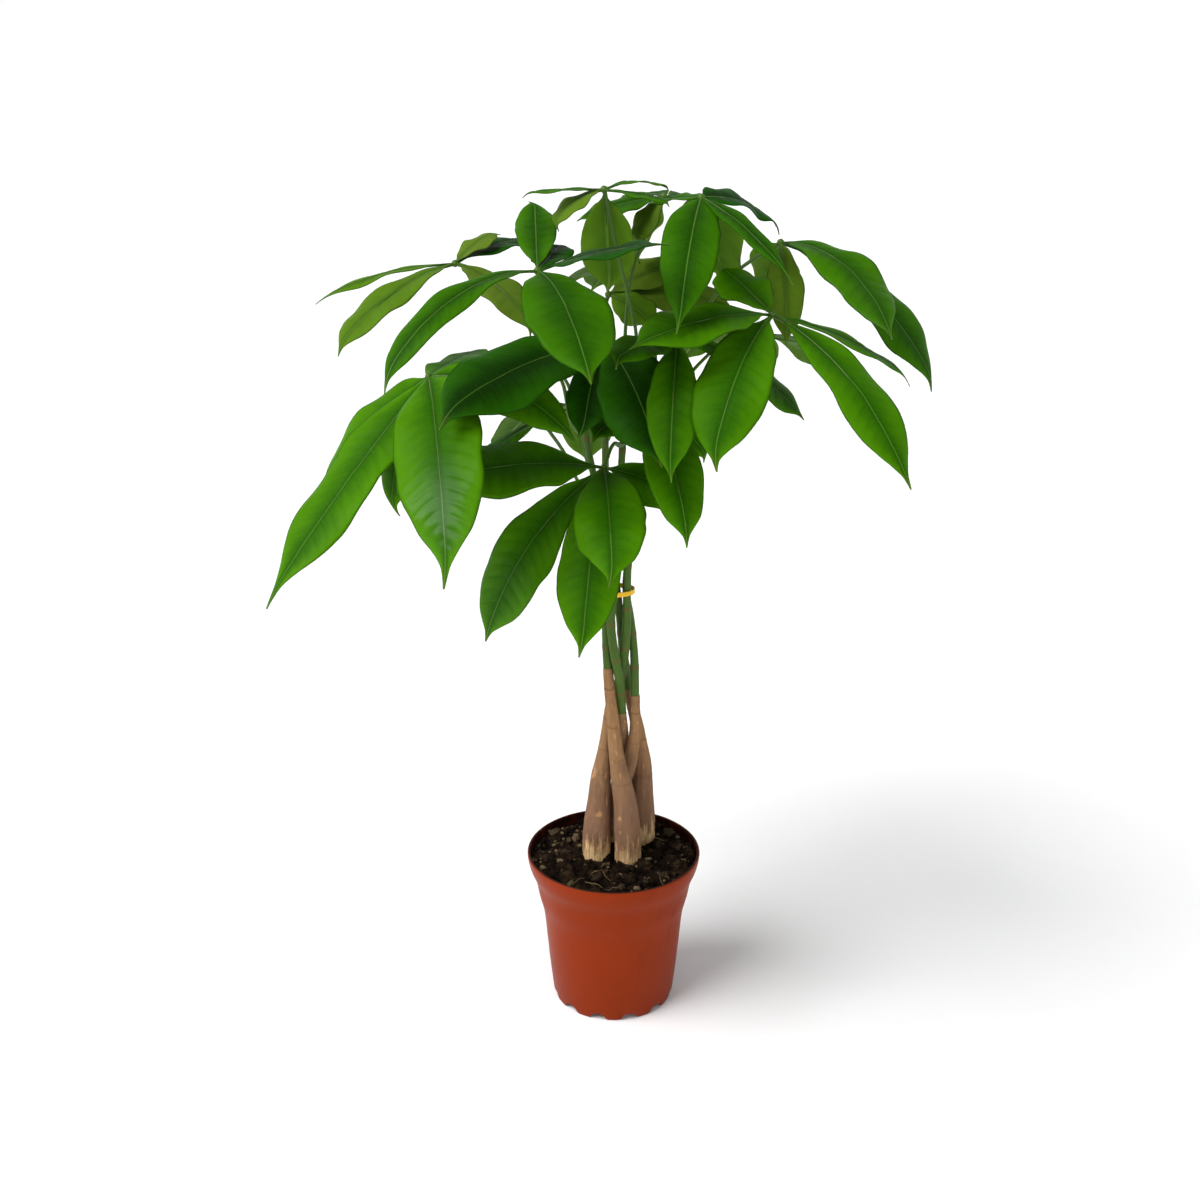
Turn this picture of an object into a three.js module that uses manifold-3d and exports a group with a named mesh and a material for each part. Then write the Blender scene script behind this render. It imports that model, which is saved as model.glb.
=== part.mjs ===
// A money tree in a 12 cm plastic nursery pot: five bottle-shaped trunks that lean across each other,
// their green stems held by a yellow tie, and a crown of palmate leaves.
// Millimetres, +Z up, the front towards -Y. The origin is the middle of the pot's foot, on the floor.
import * as THREE from 'three';
import { mergeVertices } from 'three/addons/utils/BufferGeometryUtils.js';
import Module from 'manifold-3d';

const wasm = await Module();
wasm.setup();

// ---------- driving dimensions ----------

const POT = {
  height: 112, lipRadius: 60, lipDepth: 2, footRadius: 42, wall: 1.3,
  lobes: 12, archRadius: 4.8, archSides: 10,
};
const FLOOR = { height: 6, thickness: 1.5, drains: 6, drainRadius: 4, drainSides: 8, drainCircle: 25 };
const SOIL = {
  edgeHeight: 105.5, edgeDrop: 4, moundHeight: 107, moundX: 3, moundY: 15, moundSpread: 28,
  lump: 1.6, grit: 0.8,
};
const ARCH_LENGTH = 12;          // of the bar that cuts an arch, so that it spans the pot's wall
const HOLE_TOP = 125;            // safely above the soil, for cutting the trunks' holes
const GAP = 0.3;                 // running gap between touching pieces
const BLADE = 0.7;               // leaflet thickness
const RIB = 1.7;                 // thickness of a leaflet's stalk, where it leaves the hub
const HUB_RADIUS = 2.3;
const FOOT_CLEARANCE = 0.8;      // between a petiole's foot and its stem
const PETIOLE = { foot: 2.1, tip: 1.15, taper: 1 / 3, sides: 5, steps: 6 };
const COLLAR = { out: 2.5, up: 0.8 };    // how far a petiole runs level before it turns to its route
const TIE = {
  height: 303, band: 3.2, thickness: 1, halfWidth: 12.8, halfDepth: 9.9, x: 0.7, y: 1.6, segments: 12,
};

const COLOURS = {
  pot: 0x9a4526,
  soil: 0x33241a,
  bark: 0x8d725c,
  stem: 0x4d6a32,
  tie: 0xe3b62c,
  leaf: 0x4a8110,
};

// ---------- small helpers ----------

const radians = THREE.MathUtils.degToRad;

// A direction from its heading (0 is +X, -90 is towards the viewer) and its rise above level, in degrees.
function direction(heading, rise) {
  const level = Math.cos(radians(rise));
  return new THREE.Vector3(
    level * Math.cos(radians(heading)),
    level * Math.sin(radians(heading)),
    Math.sin(radians(rise)),
  );
}

function toSolid(geometry) {
  const bare = geometry.clone();
  bare.deleteAttribute('normal');
  bare.deleteAttribute('uv');
  const merged = mergeVertices(bare, 1e-4);
  return new wasm.Manifold(new wasm.Mesh({
    numProp: 3,
    vertProperties: new Float32Array(merged.attributes.position.array),
    triVerts: new Uint32Array(merged.index.array),
  }));
}

function toGeometry(solid) {
  const mesh = solid.getMesh();
  const geometry = new THREE.BufferGeometry();
  geometry.setAttribute('position', new THREE.BufferAttribute(mesh.vertProperties, 3));
  geometry.setIndex(new THREE.BufferAttribute(mesh.triVerts, 1));
  geometry.computeVertexNormals();
  return geometry;
}

// A closed skin over rings of points, each ring with the same number of points, capped at both ends.
// The second half of each ring is split into triangles the other way, so that a thin blade's upper and lower
// faces, which are those two halves, are split alike and keep their distance where the blade twists.
function loft(rings) {
  const count = rings[0].length;
  const positions = rings.flat().flatMap((point) => point.toArray());
  const faces = [];
  for (let ring = 0; ring + 1 < rings.length; ring += 1) {
    for (let side = 0; side < count; side += 1) {
      const next = (side + 1) % count;
      const a = ring * count + side;
      const b = ring * count + next;
      const c = (ring + 1) * count + next;
      const d = (ring + 1) * count + side;
      if (side < count / 2) faces.push(a, b, c, a, c, d);
      else faces.push(a, b, d, b, c, d);
    }
  }
  const last = (rings.length - 1) * count;
  for (let side = 1; side + 1 < count; side += 1) {
    faces.push(0, side + 1, side);
    faces.push(last, last + side, last + side + 1);
  }
  const geometry = new THREE.BufferGeometry();
  geometry.setAttribute('position', new THREE.Float32BufferAttribute(positions, 3));
  geometry.setIndex(faces);
  geometry.computeVertexNormals();
  return geometry;
}

// A petiole's tube along a curve, thick at its start.
function taperedTube(curve, steps) {
  const { foot, tip, taper, sides } = PETIOLE;
  const frames = curve.computeFrenetFrames(steps, false);
  const rings = [];
  for (let step = 0; step <= steps; step += 1) {
    const along = step / steps;
    const centre = curve.getPointAt(along);
    const radius = THREE.MathUtils.lerp(foot, tip, Math.min(1, along / taper));
    const ring = [];
    for (let side = 0; side < sides; side += 1) {
      const angle = (2 * Math.PI * side) / sides;
      ring.push(centre.clone()
        .addScaledVector(frames.normals[step], radius * Math.cos(angle))
        .addScaledVector(frames.binormals[step], radius * Math.sin(angle)));
    }
    rings.push(ring);
  }
  return loft(rings);
}

const part = new THREE.Group();

function addPiece(name, geometry, colour, roughness) {
  const material = new THREE.MeshStandardMaterial({ color: colour, roughness, metalness: 0 });
  const mesh = new THREE.Mesh(geometry, material);
  mesh.name = name;
  part.add(mesh);
}

// ---------- pot ----------

// The outside of the pot wall, from the foot to the lip, as [radius, height].
const POT_OUTSIDE = [
  [POT.footRadius, 0],
  [44.9, 24],
  [48.3, 64],
  [49.6, 71],
  [51.9, 78.5],
  [54.1, 91.5],
  [55.9, 96],
  [58.4, 101.5],
  [POT.lipRadius, POT.height - POT.lipDepth],
];

// The rounded top of the lip, from its outer edge inwards.
const LIP_TOP = [
  [POT.lipRadius, POT.height - 0.5],
  [POT.lipRadius - 0.7, POT.height],
  [POT.lipRadius - 1.8, POT.height],
];

function potRadiusAt(height) {
  let below = POT_OUTSIDE[0];
  for (const above of POT_OUTSIDE) {
    if (above[1] >= height) {
      const share = above[1] === below[1] ? 0 : (height - below[1]) / (above[1] - below[1]);
      return THREE.MathUtils.lerp(below[0], above[0], share);
    }
    below = above;
  }
  return POT.lipRadius;
}

function makePot() {
  const outside = POT_OUTSIDE.map(([radius, height]) => new THREE.Vector2(radius, height));
  const inside = POT_OUTSIDE.slice().reverse()
    .filter(([, height]) => height > FLOOR.height + FLOOR.thickness)
    .map(([radius, height]) => new THREE.Vector2(radius - POT.wall, height));
  const floorTop = FLOOR.height + FLOOR.thickness;
  const profile = [
    new THREE.Vector2(0, FLOOR.height),
    new THREE.Vector2(potRadiusAt(FLOOR.height) - POT.wall, FLOOR.height),
    new THREE.Vector2(POT.footRadius - POT.wall, 0),
    ...outside,
    ...LIP_TOP.map(([radius, height]) => new THREE.Vector2(radius, height)),
    ...inside,
    new THREE.Vector2(potRadiusAt(floorTop) - POT.wall, floorTop),
    new THREE.Vector2(0, floorTop),
  ];
  const body = new THREE.LatheGeometry(profile, 3 * POT.lobes);
  body.rotateX(Math.PI / 2);
  let pot = toSolid(body);

  // Arches between the lobes of the foot, each cut by a level round bar that points at the pot's axis.
  for (let lobe = 0; lobe < POT.lobes; lobe += 1) {
    const bar = new THREE.CylinderGeometry(POT.archRadius, POT.archRadius, ARCH_LENGTH, POT.archSides);
    bar.translate(0, POT.footRadius, 0);
    bar.rotateZ((2 * Math.PI * (lobe + 0.5)) / POT.lobes);
    pot = pot.subtract(toSolid(bar));
  }
  for (let drain = 0; drain < FLOOR.drains; drain += 1) {
    const angle = (2 * Math.PI * drain) / FLOOR.drains;
    const { drainRadius, drainSides } = FLOOR;
    const hole = new THREE.CylinderGeometry(drainRadius, drainRadius, 4 * FLOOR.thickness, drainSides);
    hole.rotateX(Math.PI / 2);
    hole.translate(
      FLOOR.drainCircle * Math.cos(angle),
      FLOOR.drainCircle * Math.sin(angle),
      FLOOR.height + FLOOR.thickness / 2,
    );
    pot = pot.subtract(toSolid(hole));
  }
  addPiece('pot', toGeometry(pot), COLOURS.pot, 0.5);
}

// ---------- trunks and stems ----------

// Each plant's bark trunk and green stem follow one line of stations: height, x, y and radius.
// barkTop is the height where the bark ends and the green stem begins.
const PLANTS = {
  left: {
    barkTop: 222,
    stations: [
      [78, -12, 1, 8.8], [96, -12, 2, 10.2], [113, -11.7, 2, 10.2], [135, -11, 3.5, 9.2],
      [150, -10, 5, 7.8], [165, -8.7, 6, 6.9], [189, -4.8, 9, 5.2], [204, -3, 10, 4.6],
      [217, -1.5, 10.5, 4.2], [229, 2, 10.3, 3.8], [243, 5.5, 7.5, 3.6], [254, 6.3, 4.5, 3.5],
      [266, 7.2, 1.5, 3.4], [284, 8.3, -0.5, 3.0], [303, 8.2, -1.5, 2.7], [330, 9.4, -1.5, 2.5],
      [350, 13, -1.5, 2.4], [366, 18, 0, 2.3], [420, 31, 5, 2.0],
    ],
  },
  front: {
    barkTop: 248,
    stations: [
      [78, 10, -4, 8.6], [96, 10, -4, 9.8], [116, 9.8, -4, 9.8], [135, 9, -3.8, 9.0],
      [149, 7.9, -3.5, 8.0], [167, 4.9, -3, 6.9], [179, 2.7, -2.5, 5.6], [194, 0.7, -2, 4.9],
      [210, -0.4, -1.5, 4.3], [222, -2, -1, 3.9], [233, -3.1, 0, 3.6], [254, -4.4, 3, 3.3],
      [268, -5.1, 3.5, 3.1], [284, -5.5, 3.5, 2.9], [303, -5.5, 2.5, 2.7], [340, -6.2, 1, 2.5],
      [370, -6.3, 0, 2.4], [400, -6, -3, 2.3], [465, -8, -8, 1.9],
    ],
  },
  middle: {
    barkTop: 214,
    stations: [
      [78, 7.5, 38.5, 8], [96, 7.5, 38.5, 8.8], [113, 7.5, 37.5, 8.8], [135, 8, 34, 8],
      [155, 8, 28, 6.5], [175, 7, 20.5, 5.2], [187, 6, 15.5, 4.6], [200, 5.9, 8.5, 4.0],
      [211, 5.1, 5.5, 3.6], [231, 4.2, 1.8, 3.3], [243, 3.1, -1, 3.2], [254, 1.2, -2.4, 3.2],
      [268, -1.1, -2.8, 3.1], [285, -2.2, -3.2, 2.9], [303, 0, -3, 2.7], [330, 2, -3, 2.5],
      [360, 3.2, -3, 2.4], [395, 4.5, -1, 2.3], [440, 8, 2, 2.0],
    ],
  },
  right_front: {
    barkTop: 227,
    stations: [
      [78, -4, 23, 8.4], [96, -4, 23, 9.5], [113, -3, 22, 9.3], [130, -3, 21, 8.2],
      [142, 0, 18.5, 7.6], [155, 4.4, 14.4, 6.6], [162, 7.6, 12, 5.8], [173, 10.9, 9, 4.8],
      [187, 13.1, 7, 4.3], [201, 14.4, 6, 3.8], [224, 14, 5, 3.3], [252, 13.6, 5.4, 2.9],
      [266, 12.5, 7, 2.8], [284, 10.4, 7, 2.7], [303, 7.6, 4.7, 2.6], [330, 10.2, 6, 2.5],
      [350, 14.5, 7.5, 2.4], [366, 19, 9.5, 2.3], [400, 24, 16, 2.2], [430, 27, 22, 2.0],
    ],
  },
  right: {
    barkTop: 226,
    stations: [
      [78, 20, 24, 8.4], [96, 20.5, 24, 9.4], [113, 21, 24, 9.3], [138, 20.4, 22.5, 8.1],
      [150, 20.4, 21, 7.3], [167, 20.7, 20, 5.8], [181, 18.9, 19.5, 5.0], [203, 15, 19, 4.4],
      [217, 11.8, 18.5, 4.0], [232, 8.9, 18, 3.7], [247, 6.8, 16, 3.5], [275, 4.6, 11, 3.1],
      [303, 1.4, 6.6, 2.7], [330, -2, 10, 2.5], [360, -10, 15, 2.4], [400, -18, 20, 2.2],
      [430, -22, 24, 2.0],
    ],
  },
};
const TRUNK = { sides: 10, steps: 10 };
const STEM = { sides: 7, steps: 13 };
const HOLE_STEPS = 4;

// Smooth x, y and radius of a plant at any height between its stations.
function plantLine(plant) {
  const heights = plant.stations.map((station) => station[0]);
  const values = plant.stations.flatMap((station) => station.slice(1));
  const line = new THREE.CubicInterpolant(heights, values, 3, new Array(3));
  return (height) => line.evaluate(height).slice();
}

// A level-sliced length of a plant, from one height to another, optionally fatter by grow.
function plantLength(plant, from, to, sides, steps, grow = 0) {
  const at = plantLine(plant);
  const rings = [];
  for (let step = 0; step <= steps; step += 1) {
    const height = THREE.MathUtils.lerp(from, to, step / steps);
    const [x, y, radius] = at(height);
    const ring = [];
    for (let side = 0; side < sides; side += 1) {
      const angle = (2 * Math.PI * side) / sides;
      ring.push(new THREE.Vector3(
        x + (radius + grow) * Math.cos(angle),
        y + (radius + grow) * Math.sin(angle),
        height,
      ));
    }
    rings.push(ring);
  }
  return loft(rings);
}

function makePlants() {
  for (const [name, plant] of Object.entries(PLANTS)) {
    const bottom = plant.stations[0][0];
    const top = plant.stations[plant.stations.length - 1][0];
    const trunk = plantLength(plant, bottom, plant.barkTop, TRUNK.sides, TRUNK.steps);
    const stem = plantLength(plant, plant.barkTop + GAP, top, STEM.sides, STEM.steps);
    addPiece(`trunk_${name}`, trunk, COLOURS.bark, 0.8);
    addPiece(`stem_${name}`, stem, COLOURS.stem, 0.55);
  }
}

// ---------- soil ----------

const SOIL_SPOKES = 30;
const SOIL_RINGS = 5;
const SOIL_SIDE_HEIGHTS = [64, 71, 78.5, 91.5, 96];    // where the pot's wall bends

// Height of the soil surface: a mound round the trunks, broken up into lumps by a few crossed waves.
function soilHeight(x, y) {
  const fromMound = Math.hypot(x - SOIL.moundX, y - SOIL.moundY);
  const mound = (SOIL.moundHeight - SOIL.edgeHeight) * Math.exp(-((fromMound / SOIL.moundSpread) ** 2));
  const lumps = Math.sin(0.41 * x + 1.3 * Math.sin(0.23 * y)) * Math.sin(0.37 * y + 1.1 * Math.sin(0.29 * x));
  const grit = Math.sin(0.93 * x + 0.7 * y) * Math.sin(0.81 * y - 0.6 * x);
  return SOIL.edgeHeight + mound + SOIL.lump * lumps + SOIL.grit * grit;
}

function makeSoil() {
  const bottom = FLOOR.height + FLOOR.thickness + GAP;
  const sideHeights = [bottom, ...SOIL_SIDE_HEIGHTS];
  const ringAt = (radiusAt, heightAt) => Array.from({ length: SOIL_SPOKES }, (_, spoke) => {
    const angle = (2 * Math.PI * spoke) / SOIL_SPOKES;
    const x = radiusAt * Math.cos(angle);
    const y = radiusAt * Math.sin(angle);
    return new THREE.Vector3(x, y, heightAt(x, y));
  });
  const clear = POT.wall + 2 * GAP;
  const rings = sideHeights.map((height) => ringAt(potRadiusAt(height) - clear, () => height));
  const topRadius = potRadiusAt(SOIL.edgeHeight - SOIL.edgeDrop) - clear;
  rings.push(ringAt(topRadius, soilHeight));
  for (let ring = 1; ring < SOIL_RINGS; ring += 1) {
    rings.push(ringAt(topRadius * (1 - ring / SOIL_RINGS), soilHeight));
  }
  let soil = toSolid(loft(rings));
  for (const plant of Object.values(PLANTS)) {
    const bottomOfHole = plant.stations[0][0] - GAP;
    const hole = plantLength(
      { stations: [[bottomOfHole, ...plant.stations[0].slice(1)], ...plant.stations] },
      bottomOfHole, HOLE_TOP, TRUNK.sides, HOLE_STEPS, GAP,
    );
    soil = soil.subtract(toSolid(hole));
  }
  addPiece('soil', toGeometry(soil), COLOURS.soil, 0.95);
}

// ---------- tie ----------

function makeTie() {
  const outline = new THREE.Shape();
  outline.absellipse(0, 0, TIE.halfWidth, TIE.halfDepth, 0, 2 * Math.PI);
  const inside = new THREE.Path();
  inside.absellipse(
    0, 0, TIE.halfWidth - TIE.thickness, TIE.halfDepth - TIE.thickness, 0, 2 * Math.PI, true,
  );
  outline.holes.push(inside);
  const band = new THREE.ExtrudeGeometry(outline, {
    depth: TIE.band, bevelEnabled: false, curveSegments: TIE.segments,
  });
  band.translate(TIE.x, TIE.y, TIE.height - TIE.band / 2);
  addPiece('tie', toGeometry(toSolid(band)), COLOURS.tie, 0.4);
}

// ---------- leaves ----------

// Stations along a leaflet: how far along it, and its width there as a share of the full width.
const LEAFLET_OUTLINE = [
  [0, 0.05], [0.07, 0.1], [0.19, 0.45], [0.36, 0.82], [0.56, 1.0], [0.75, 0.88], [0.91, 0.42], [1.0, 0.03],
];
const ROOT = 1.1;                // how far from the middle of the hub a leaflet's root starts
const FOLD = 11;                 // degrees that each half of a blade lifts from its rib near the hub
const RECURVE = 16;              // degrees that the fold has opened again at the tip
const WAVE = 1.3;                // height of the waves along a blade's edges
const HALF_WAVES = 5;            // in the length of a leaflet
const STALK_END = 0.19;          // how far along a leaflet its stalk has thinned to the blade's thickness
const LEAST_HALF_WIDTH = 0.6;
const LEAST_DROOP = 0.5;         // a straight rib is drawn as a very wide arc

// A place on a leaflet's rib. The rib starts at the hub and bends down evenly by droop degrees.
function ribPoint(hub, leaflet, along) {
  const { heading, rise, droop, length } = leaflet;
  const start = radians(rise);
  const bend = radians(droop || LEAST_DROOP);
  const turned = start - bend * along;
  const out = (length * (Math.sin(start) - Math.sin(turned))) / bend;
  const up = (length * (Math.cos(turned) - Math.cos(start))) / bend;
  return hub.clone()
    .addScaledVector(direction(heading, 0), out)
    .add(new THREE.Vector3(0, 0, up));
}

function makeLeaflet(hub, face, leaflet, index) {
  const rings = LEAFLET_OUTLINE.map(([station, share]) => {
    const along = Math.max(station ** (1 / leaflet.shoulder), ROOT / leaflet.length);
    const centre = ribPoint(hub, leaflet, along);
    const tangent = direction(leaflet.heading, leaflet.rise - leaflet.droop * along);
    const normal = face.clone().addScaledVector(tangent, -face.dot(tangent)).normalize();
    const side = new THREE.Vector3().crossVectors(normal, tangent);
    const half = Math.max(LEAST_HALF_WIDTH, (share * leaflet.width) / 2);
    const fold = Math.tan(radians(FOLD - RECURVE * along));
    const wave = WAVE * share * Math.sin(Math.PI * (HALF_WAVES * along + index));
    const thick = THREE.MathUtils.lerp(RIB, BLADE, Math.min(1, along / STALK_END)) / 2;
    const place = (across, lift) => centre.clone()
      .addScaledVector(side, across)
      .addScaledVector(normal, lift);
    const left = fold * half + wave;
    const right = fold * half - wave;
    return [
      place(half, left - thick), place(half, left + thick),
      place(0, thick),
      place(-half, right + thick), place(-half, right - thick),
      place(0, -thick),
    ];
  });
  return loft(rings);
}

// The petiole leaves its stem level, straight out towards its next point, just clear of the bark.
function petioleCurve(leaf) {
  const [x, y, radius] = plantLine(PLANTS[leaf.stem])(leaf.from);
  const via = leaf.via.map((point) => new THREE.Vector3(...point));
  const hub = new THREE.Vector3(...leaf.hub);
  const out = (via[0] ?? hub).clone().sub(new THREE.Vector3(x, y, leaf.from)).setZ(0).normalize();
  const foot = new THREE.Vector3(x, y, leaf.from).addScaledVector(out, radius + FOOT_CLEARANCE);
  const collar = foot.clone().addScaledVector(out, COLLAR.out).add(new THREE.Vector3(0, 0, COLLAR.up));
  return new THREE.CatmullRomCurve3([foot, collar, ...via, hub]);
}

function makeLeaf(name, leaf) {
  const hub = new THREE.Vector3(...leaf.hub);
  const [faceHeading, faceTilt] = leaf.faces;
  const face = direction(faceHeading, 90 - faceTilt);
  const shoulder = leaf.shoulder ?? 1;
  let solid = toSolid(taperedTube(petioleCurve(leaf), PETIOLE.steps + leaf.via.length));
  const knob = new THREE.IcosahedronGeometry(HUB_RADIUS, 0);
  knob.translate(...leaf.hub);
  solid = solid.add(toSolid(knob));
  leaf.leaflets.forEach(([heading, rise, droop, length, width], index) => {
    const leaflet = { heading, rise, droop, length, width, shoulder };
    solid = solid.add(toSolid(makeLeaflet(hub, face, leaflet, index)));
  });
  addPiece(`leaf_${name}`, toGeometry(solid), COLOURS.leaf, 0.42);
}

// Each leaf: the stem it grows from and the height where it does, the petiole's route from there, the place
// of its hub, where its face leans (heading, and tilt from level), and its leaflets as heading, rise, droop
// (degrees), length and width. A shoulder below 1 brings the leaflets' widest part nearer the hub.
const LEAVES = {
  low_front: {
    stem: 'middle', from: 402, via: [[-1, -16, 406]], hub: [-7, -34, 396], faces: [-100, 30],
    leaflets: [
      [-146, 17, 25, 128, 50], [-163, -33, 42, 135, 44], [-99, -30, 35, 126, 38], [-87, 2, 52, 108, 43],
      [-27, -1, 30, 66, 34],
    ],
  },
  middle_right: {
    stem: 'middle', from: 424, via: [[13, -8, 430]], hub: [20, -14, 427], faces: [-80, 30],
    leaflets: [[-77, -1, 60, 117, 34], [-25, -12, 40, 50, 28], [-125, 15, 40, 61, 26]],
  },
  far_left: {
    stem: 'right', from: 356, via: [[-22, 8, 372], [-36, -8, 405], [-63, -28, 439], [-99, -42, 453]],
    hub: [-111, -45, 455], faces: [-125, 30], shoulder: 0.72,
    leaflets: [
      [-129, -33, 10, 172, 42], [-170, -33, 25, 100, 38], [-81, -5, 65, 158, 53], [-150, -56, 30, 88, 40],
      [-18, 10, 59, 103, 36], [68, 7, 10, 80, 30],
    ],
  },
  far_right: {
    stem: 'left', from: 396, via: [[40, -6, 412], [60, -18, 440], [80, -32, 470]],
    hub: [92, -40, 491], faces: [-75, 18],
    leaflets: [
      [-115, -9, 55, 123, 42], [-52, -11, 48, 144, 35], [22, -15, 20, 111, 18], [132, 34, 12, 50, 38],
      [-140, 10, 25, 111, 40],
    ],
  },
  left_front: {
    stem: 'front', from: 459, via: [[-22, -32, 492]], hub: [-45, -62, 520], faces: [-80, 12],
    leaflets: [
      [93, 17, -5, 94, 25], [-133, 8, 60, 136, 23], [-74, 3, 45, 123, 48], [-36, 21, 12, 90, 30],
      [78, 9, 5, 66, 24],
    ],
  },
  right_front: {
    stem: 'left', from: 413, via: [[34, -22, 450]], hub: [36, -48, 479], faces: [-90, 12],
    leaflets: [
      [-95, -12, 55, 106, 29], [-124, 9, 20, 70, 32], [-5, -12, 40, 92, 38], [60, 8, 0, 40, 22],
    ],
  },
  top_left: {
    stem: 'middle', from: 437, via: [[13, 0, 470], [8, -1, 495], [1.5, -2, 520]],
    hub: [-7, -5, 559], faces: [0, 0],
    leaflets: [
      [-160, 4, 8, 52, 12], [25, 21, 46, 47, 13], [80, -62, 20, 68, 34], [-150, -5, 45, 42, 24],
      [-30, -2, 8, 46, 18],
    ],
  },
  middle_back: {
    stem: 'right', from: 424, via: [[-14, 34, 458]], hub: [-4, 40, 489], faces: [-90, 35],
    leaflets: [[3, 6, 25, 84, 34], [-40, -8, 30, 40, 26], [20, 32, 25, 54, 28]],
  },
  top_right: {
    stem: 'right_front', from: 427, via: [[36, -5, 470], [46, -14, 520]], hub: [50, -20, 556],
    faces: [-80, 15], shoulder: 0.7,
    leaflets: [
      [-101, -15, 45, 108, 33], [-60, -10, 22, 98, 15], [30, 3, 48, 66, 40], [135, -3, 10, 45, 22],
      [66, -38, 36, 77, 46],
    ],
  },
  right_back: {
    stem: 'right_front', from: 412, via: [[40, 20, 450], [55, 22, 480], [75, 25, 505]],
    hub: [103, 30, 523], faces: [-60, 28],
    leaflets: [
      [-50, 9, 70, 111, 42], [-17, -15, 50, 138, 42], [-90, -14, 60, 80, 24], [88, -13, 50, 93, 36],
    ],
  },
  top_back: {
    stem: 'middle', from: 430, via: [[6, 8, 465], [12, 15, 513], [24, 28, 538]],
    hub: [30, 30, 551], faces: [-90, 12],
    leaflets: [
      [-172, -6, 14, 56, 32], [-150, -40, 25, 34, 20], [128, -42, 30, 52, 32], [50, -2, 18, 70, 32],
      [110, 2, 20, 62, 30],
    ],
  },
  left_back: {
    stem: 'right', from: 405, via: [[-35, 24, 440], [-67, 28, 487], [-88, 30, 506]],
    hub: [-100, 30, 510], faces: [-100, 0],
    leaflets: [
      [-155, 2, 25, 93, 15], [-129, -3, 35, 114, 31], [40, 42, 30, 38, 24], [42, 22, 28, 68, 40],
      [-44, -4, 40, 82, 34],
    ],
  },
  middle_front: {
    stem: 'front', from: 440, via: [[-6, -20, 462]], hub: [-6, -30, 471], faces: [-110, 36],
    leaflets: [[-137, 6, 34, 134, 56], [-71, -6, 45, 108, 46], [-105, -15, 50, 72, 28]],
  },
  back_left: {
    stem: 'right', from: 414, via: [[-32, 56, 430]], hub: [-44, 84, 440], faces: [120, 15],
    leaflets: [
      [165, -2, 45, 80, 36], [132, 5, 50, 106, 40], [95, 2, 50, 100, 38], [55, 5, 35, 80, 32],
      [-150, -4, 30, 62, 30],
    ],
  },
  back: {
    stem: 'right_front', from: 419, via: [[26, 55, 465]], hub: [24, 80, 500], faces: [90, 12],
    leaflets: [
      [158, 3, 35, 80, 32], [115, 5, 45, 98, 38], [75, 2, 50, 104, 38], [32, 6, 35, 88, 34],
    ],
  },
  back_right: {
    stem: 'right_front', from: 398, via: [[45, 46, 430], [66, 68, 448]],
    hub: [80, 80, 456], faces: [60, 15],
    leaflets: [
      [112, 0, 45, 92, 36], [72, -2, 50, 100, 38], [32, -2, 45, 112, 38], [-8, 2, 40, 92, 34],
      [155, 4, 25, 65, 28],
    ],
  },
  low_back: {
    stem: 'right', from: 380, via: [[-22, 40, 402]], hub: [-25, 58, 412], faces: [100, 10],
    leaflets: [
      [-172, 14, 30, 95, 32], [-150, -8, 40, 120, 32], [130, -5, 50, 110, 36], [85, -8, 55, 115, 38],
      [40, -5, 45, 95, 34],
    ],
  },
};

makePot();
makeSoil();
makePlants();
makeTie();
for (const [name, leaf] of Object.entries(LEAVES)) makeLeaf(name, leaf);

export default part;
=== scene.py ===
import math
import random

import bpy
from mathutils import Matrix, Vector, noise


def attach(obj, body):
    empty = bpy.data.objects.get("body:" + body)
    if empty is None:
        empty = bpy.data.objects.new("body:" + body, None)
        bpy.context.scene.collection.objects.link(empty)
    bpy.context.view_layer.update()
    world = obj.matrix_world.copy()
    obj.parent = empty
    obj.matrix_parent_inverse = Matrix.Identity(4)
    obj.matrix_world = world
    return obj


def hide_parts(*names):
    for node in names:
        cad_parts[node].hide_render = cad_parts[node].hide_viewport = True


# The looks of a potted money tree: five bottle-shaped trunks in a plastic nursery pot, their green stems
# held by a yellow tie, and a crown of palmate leaves. Metres, +Z up, the front towards -Y. The origin is
# the middle of the pot's foot, on the floor.

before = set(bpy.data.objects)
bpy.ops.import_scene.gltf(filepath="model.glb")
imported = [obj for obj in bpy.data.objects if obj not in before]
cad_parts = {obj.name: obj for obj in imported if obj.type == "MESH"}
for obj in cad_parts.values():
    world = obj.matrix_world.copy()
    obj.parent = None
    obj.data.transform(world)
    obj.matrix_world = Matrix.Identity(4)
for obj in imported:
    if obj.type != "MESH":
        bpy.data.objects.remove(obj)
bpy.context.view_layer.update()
MM = 0.001
UP = Vector((0, 0, 1))


# ---------- sizes shared with the solid model ----------

FOOT_RADIUS = 42 * MM
POT_WALL = 1.3 * MM
LOBES = 12
ARCH_HEIGHT = 4.8 * MM           # of the arches between the lobes of the foot
ARCH_TOP = 2.6 * MM              # half the width of an arch where it is highest
ARCH_FOOT = 7 * MM               # half its width at the floor
FLOOR_HEIGHT = 6 * MM
FLOOR_THICKNESS = 1.5 * MM
DRAINS = 6
DRAIN_RADIUS = 4 * MM
DRAIN_CIRCLE = 25 * MM
DRAIN_SIDES = 32
FLOOR_EDGE = 42.9                # millimetres, the wall's outside where the floor joins it
FLOOR_RINGS = [1, 20]            # millimetres, radii of the rings that split the floor
FOOT_BAND = 3 * MM               # how far in from the foot's edge the arches are cut
DRAIN_CUT = 8 * MM               # length of the bar that cuts a drain hole
SOIL_EDGE = 105.5 * MM
SOIL_MOUND = 1.5 * MM            # how far the mound round the trunks rises above the soil's edge
MOUND_CENTRE = Vector((3 * MM, 15 * MM, 0))
MOUND_SPREAD = 28 * MM
TIE_HEIGHT = 303 * MM
TIE_BAND = 3.2 * MM
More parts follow.
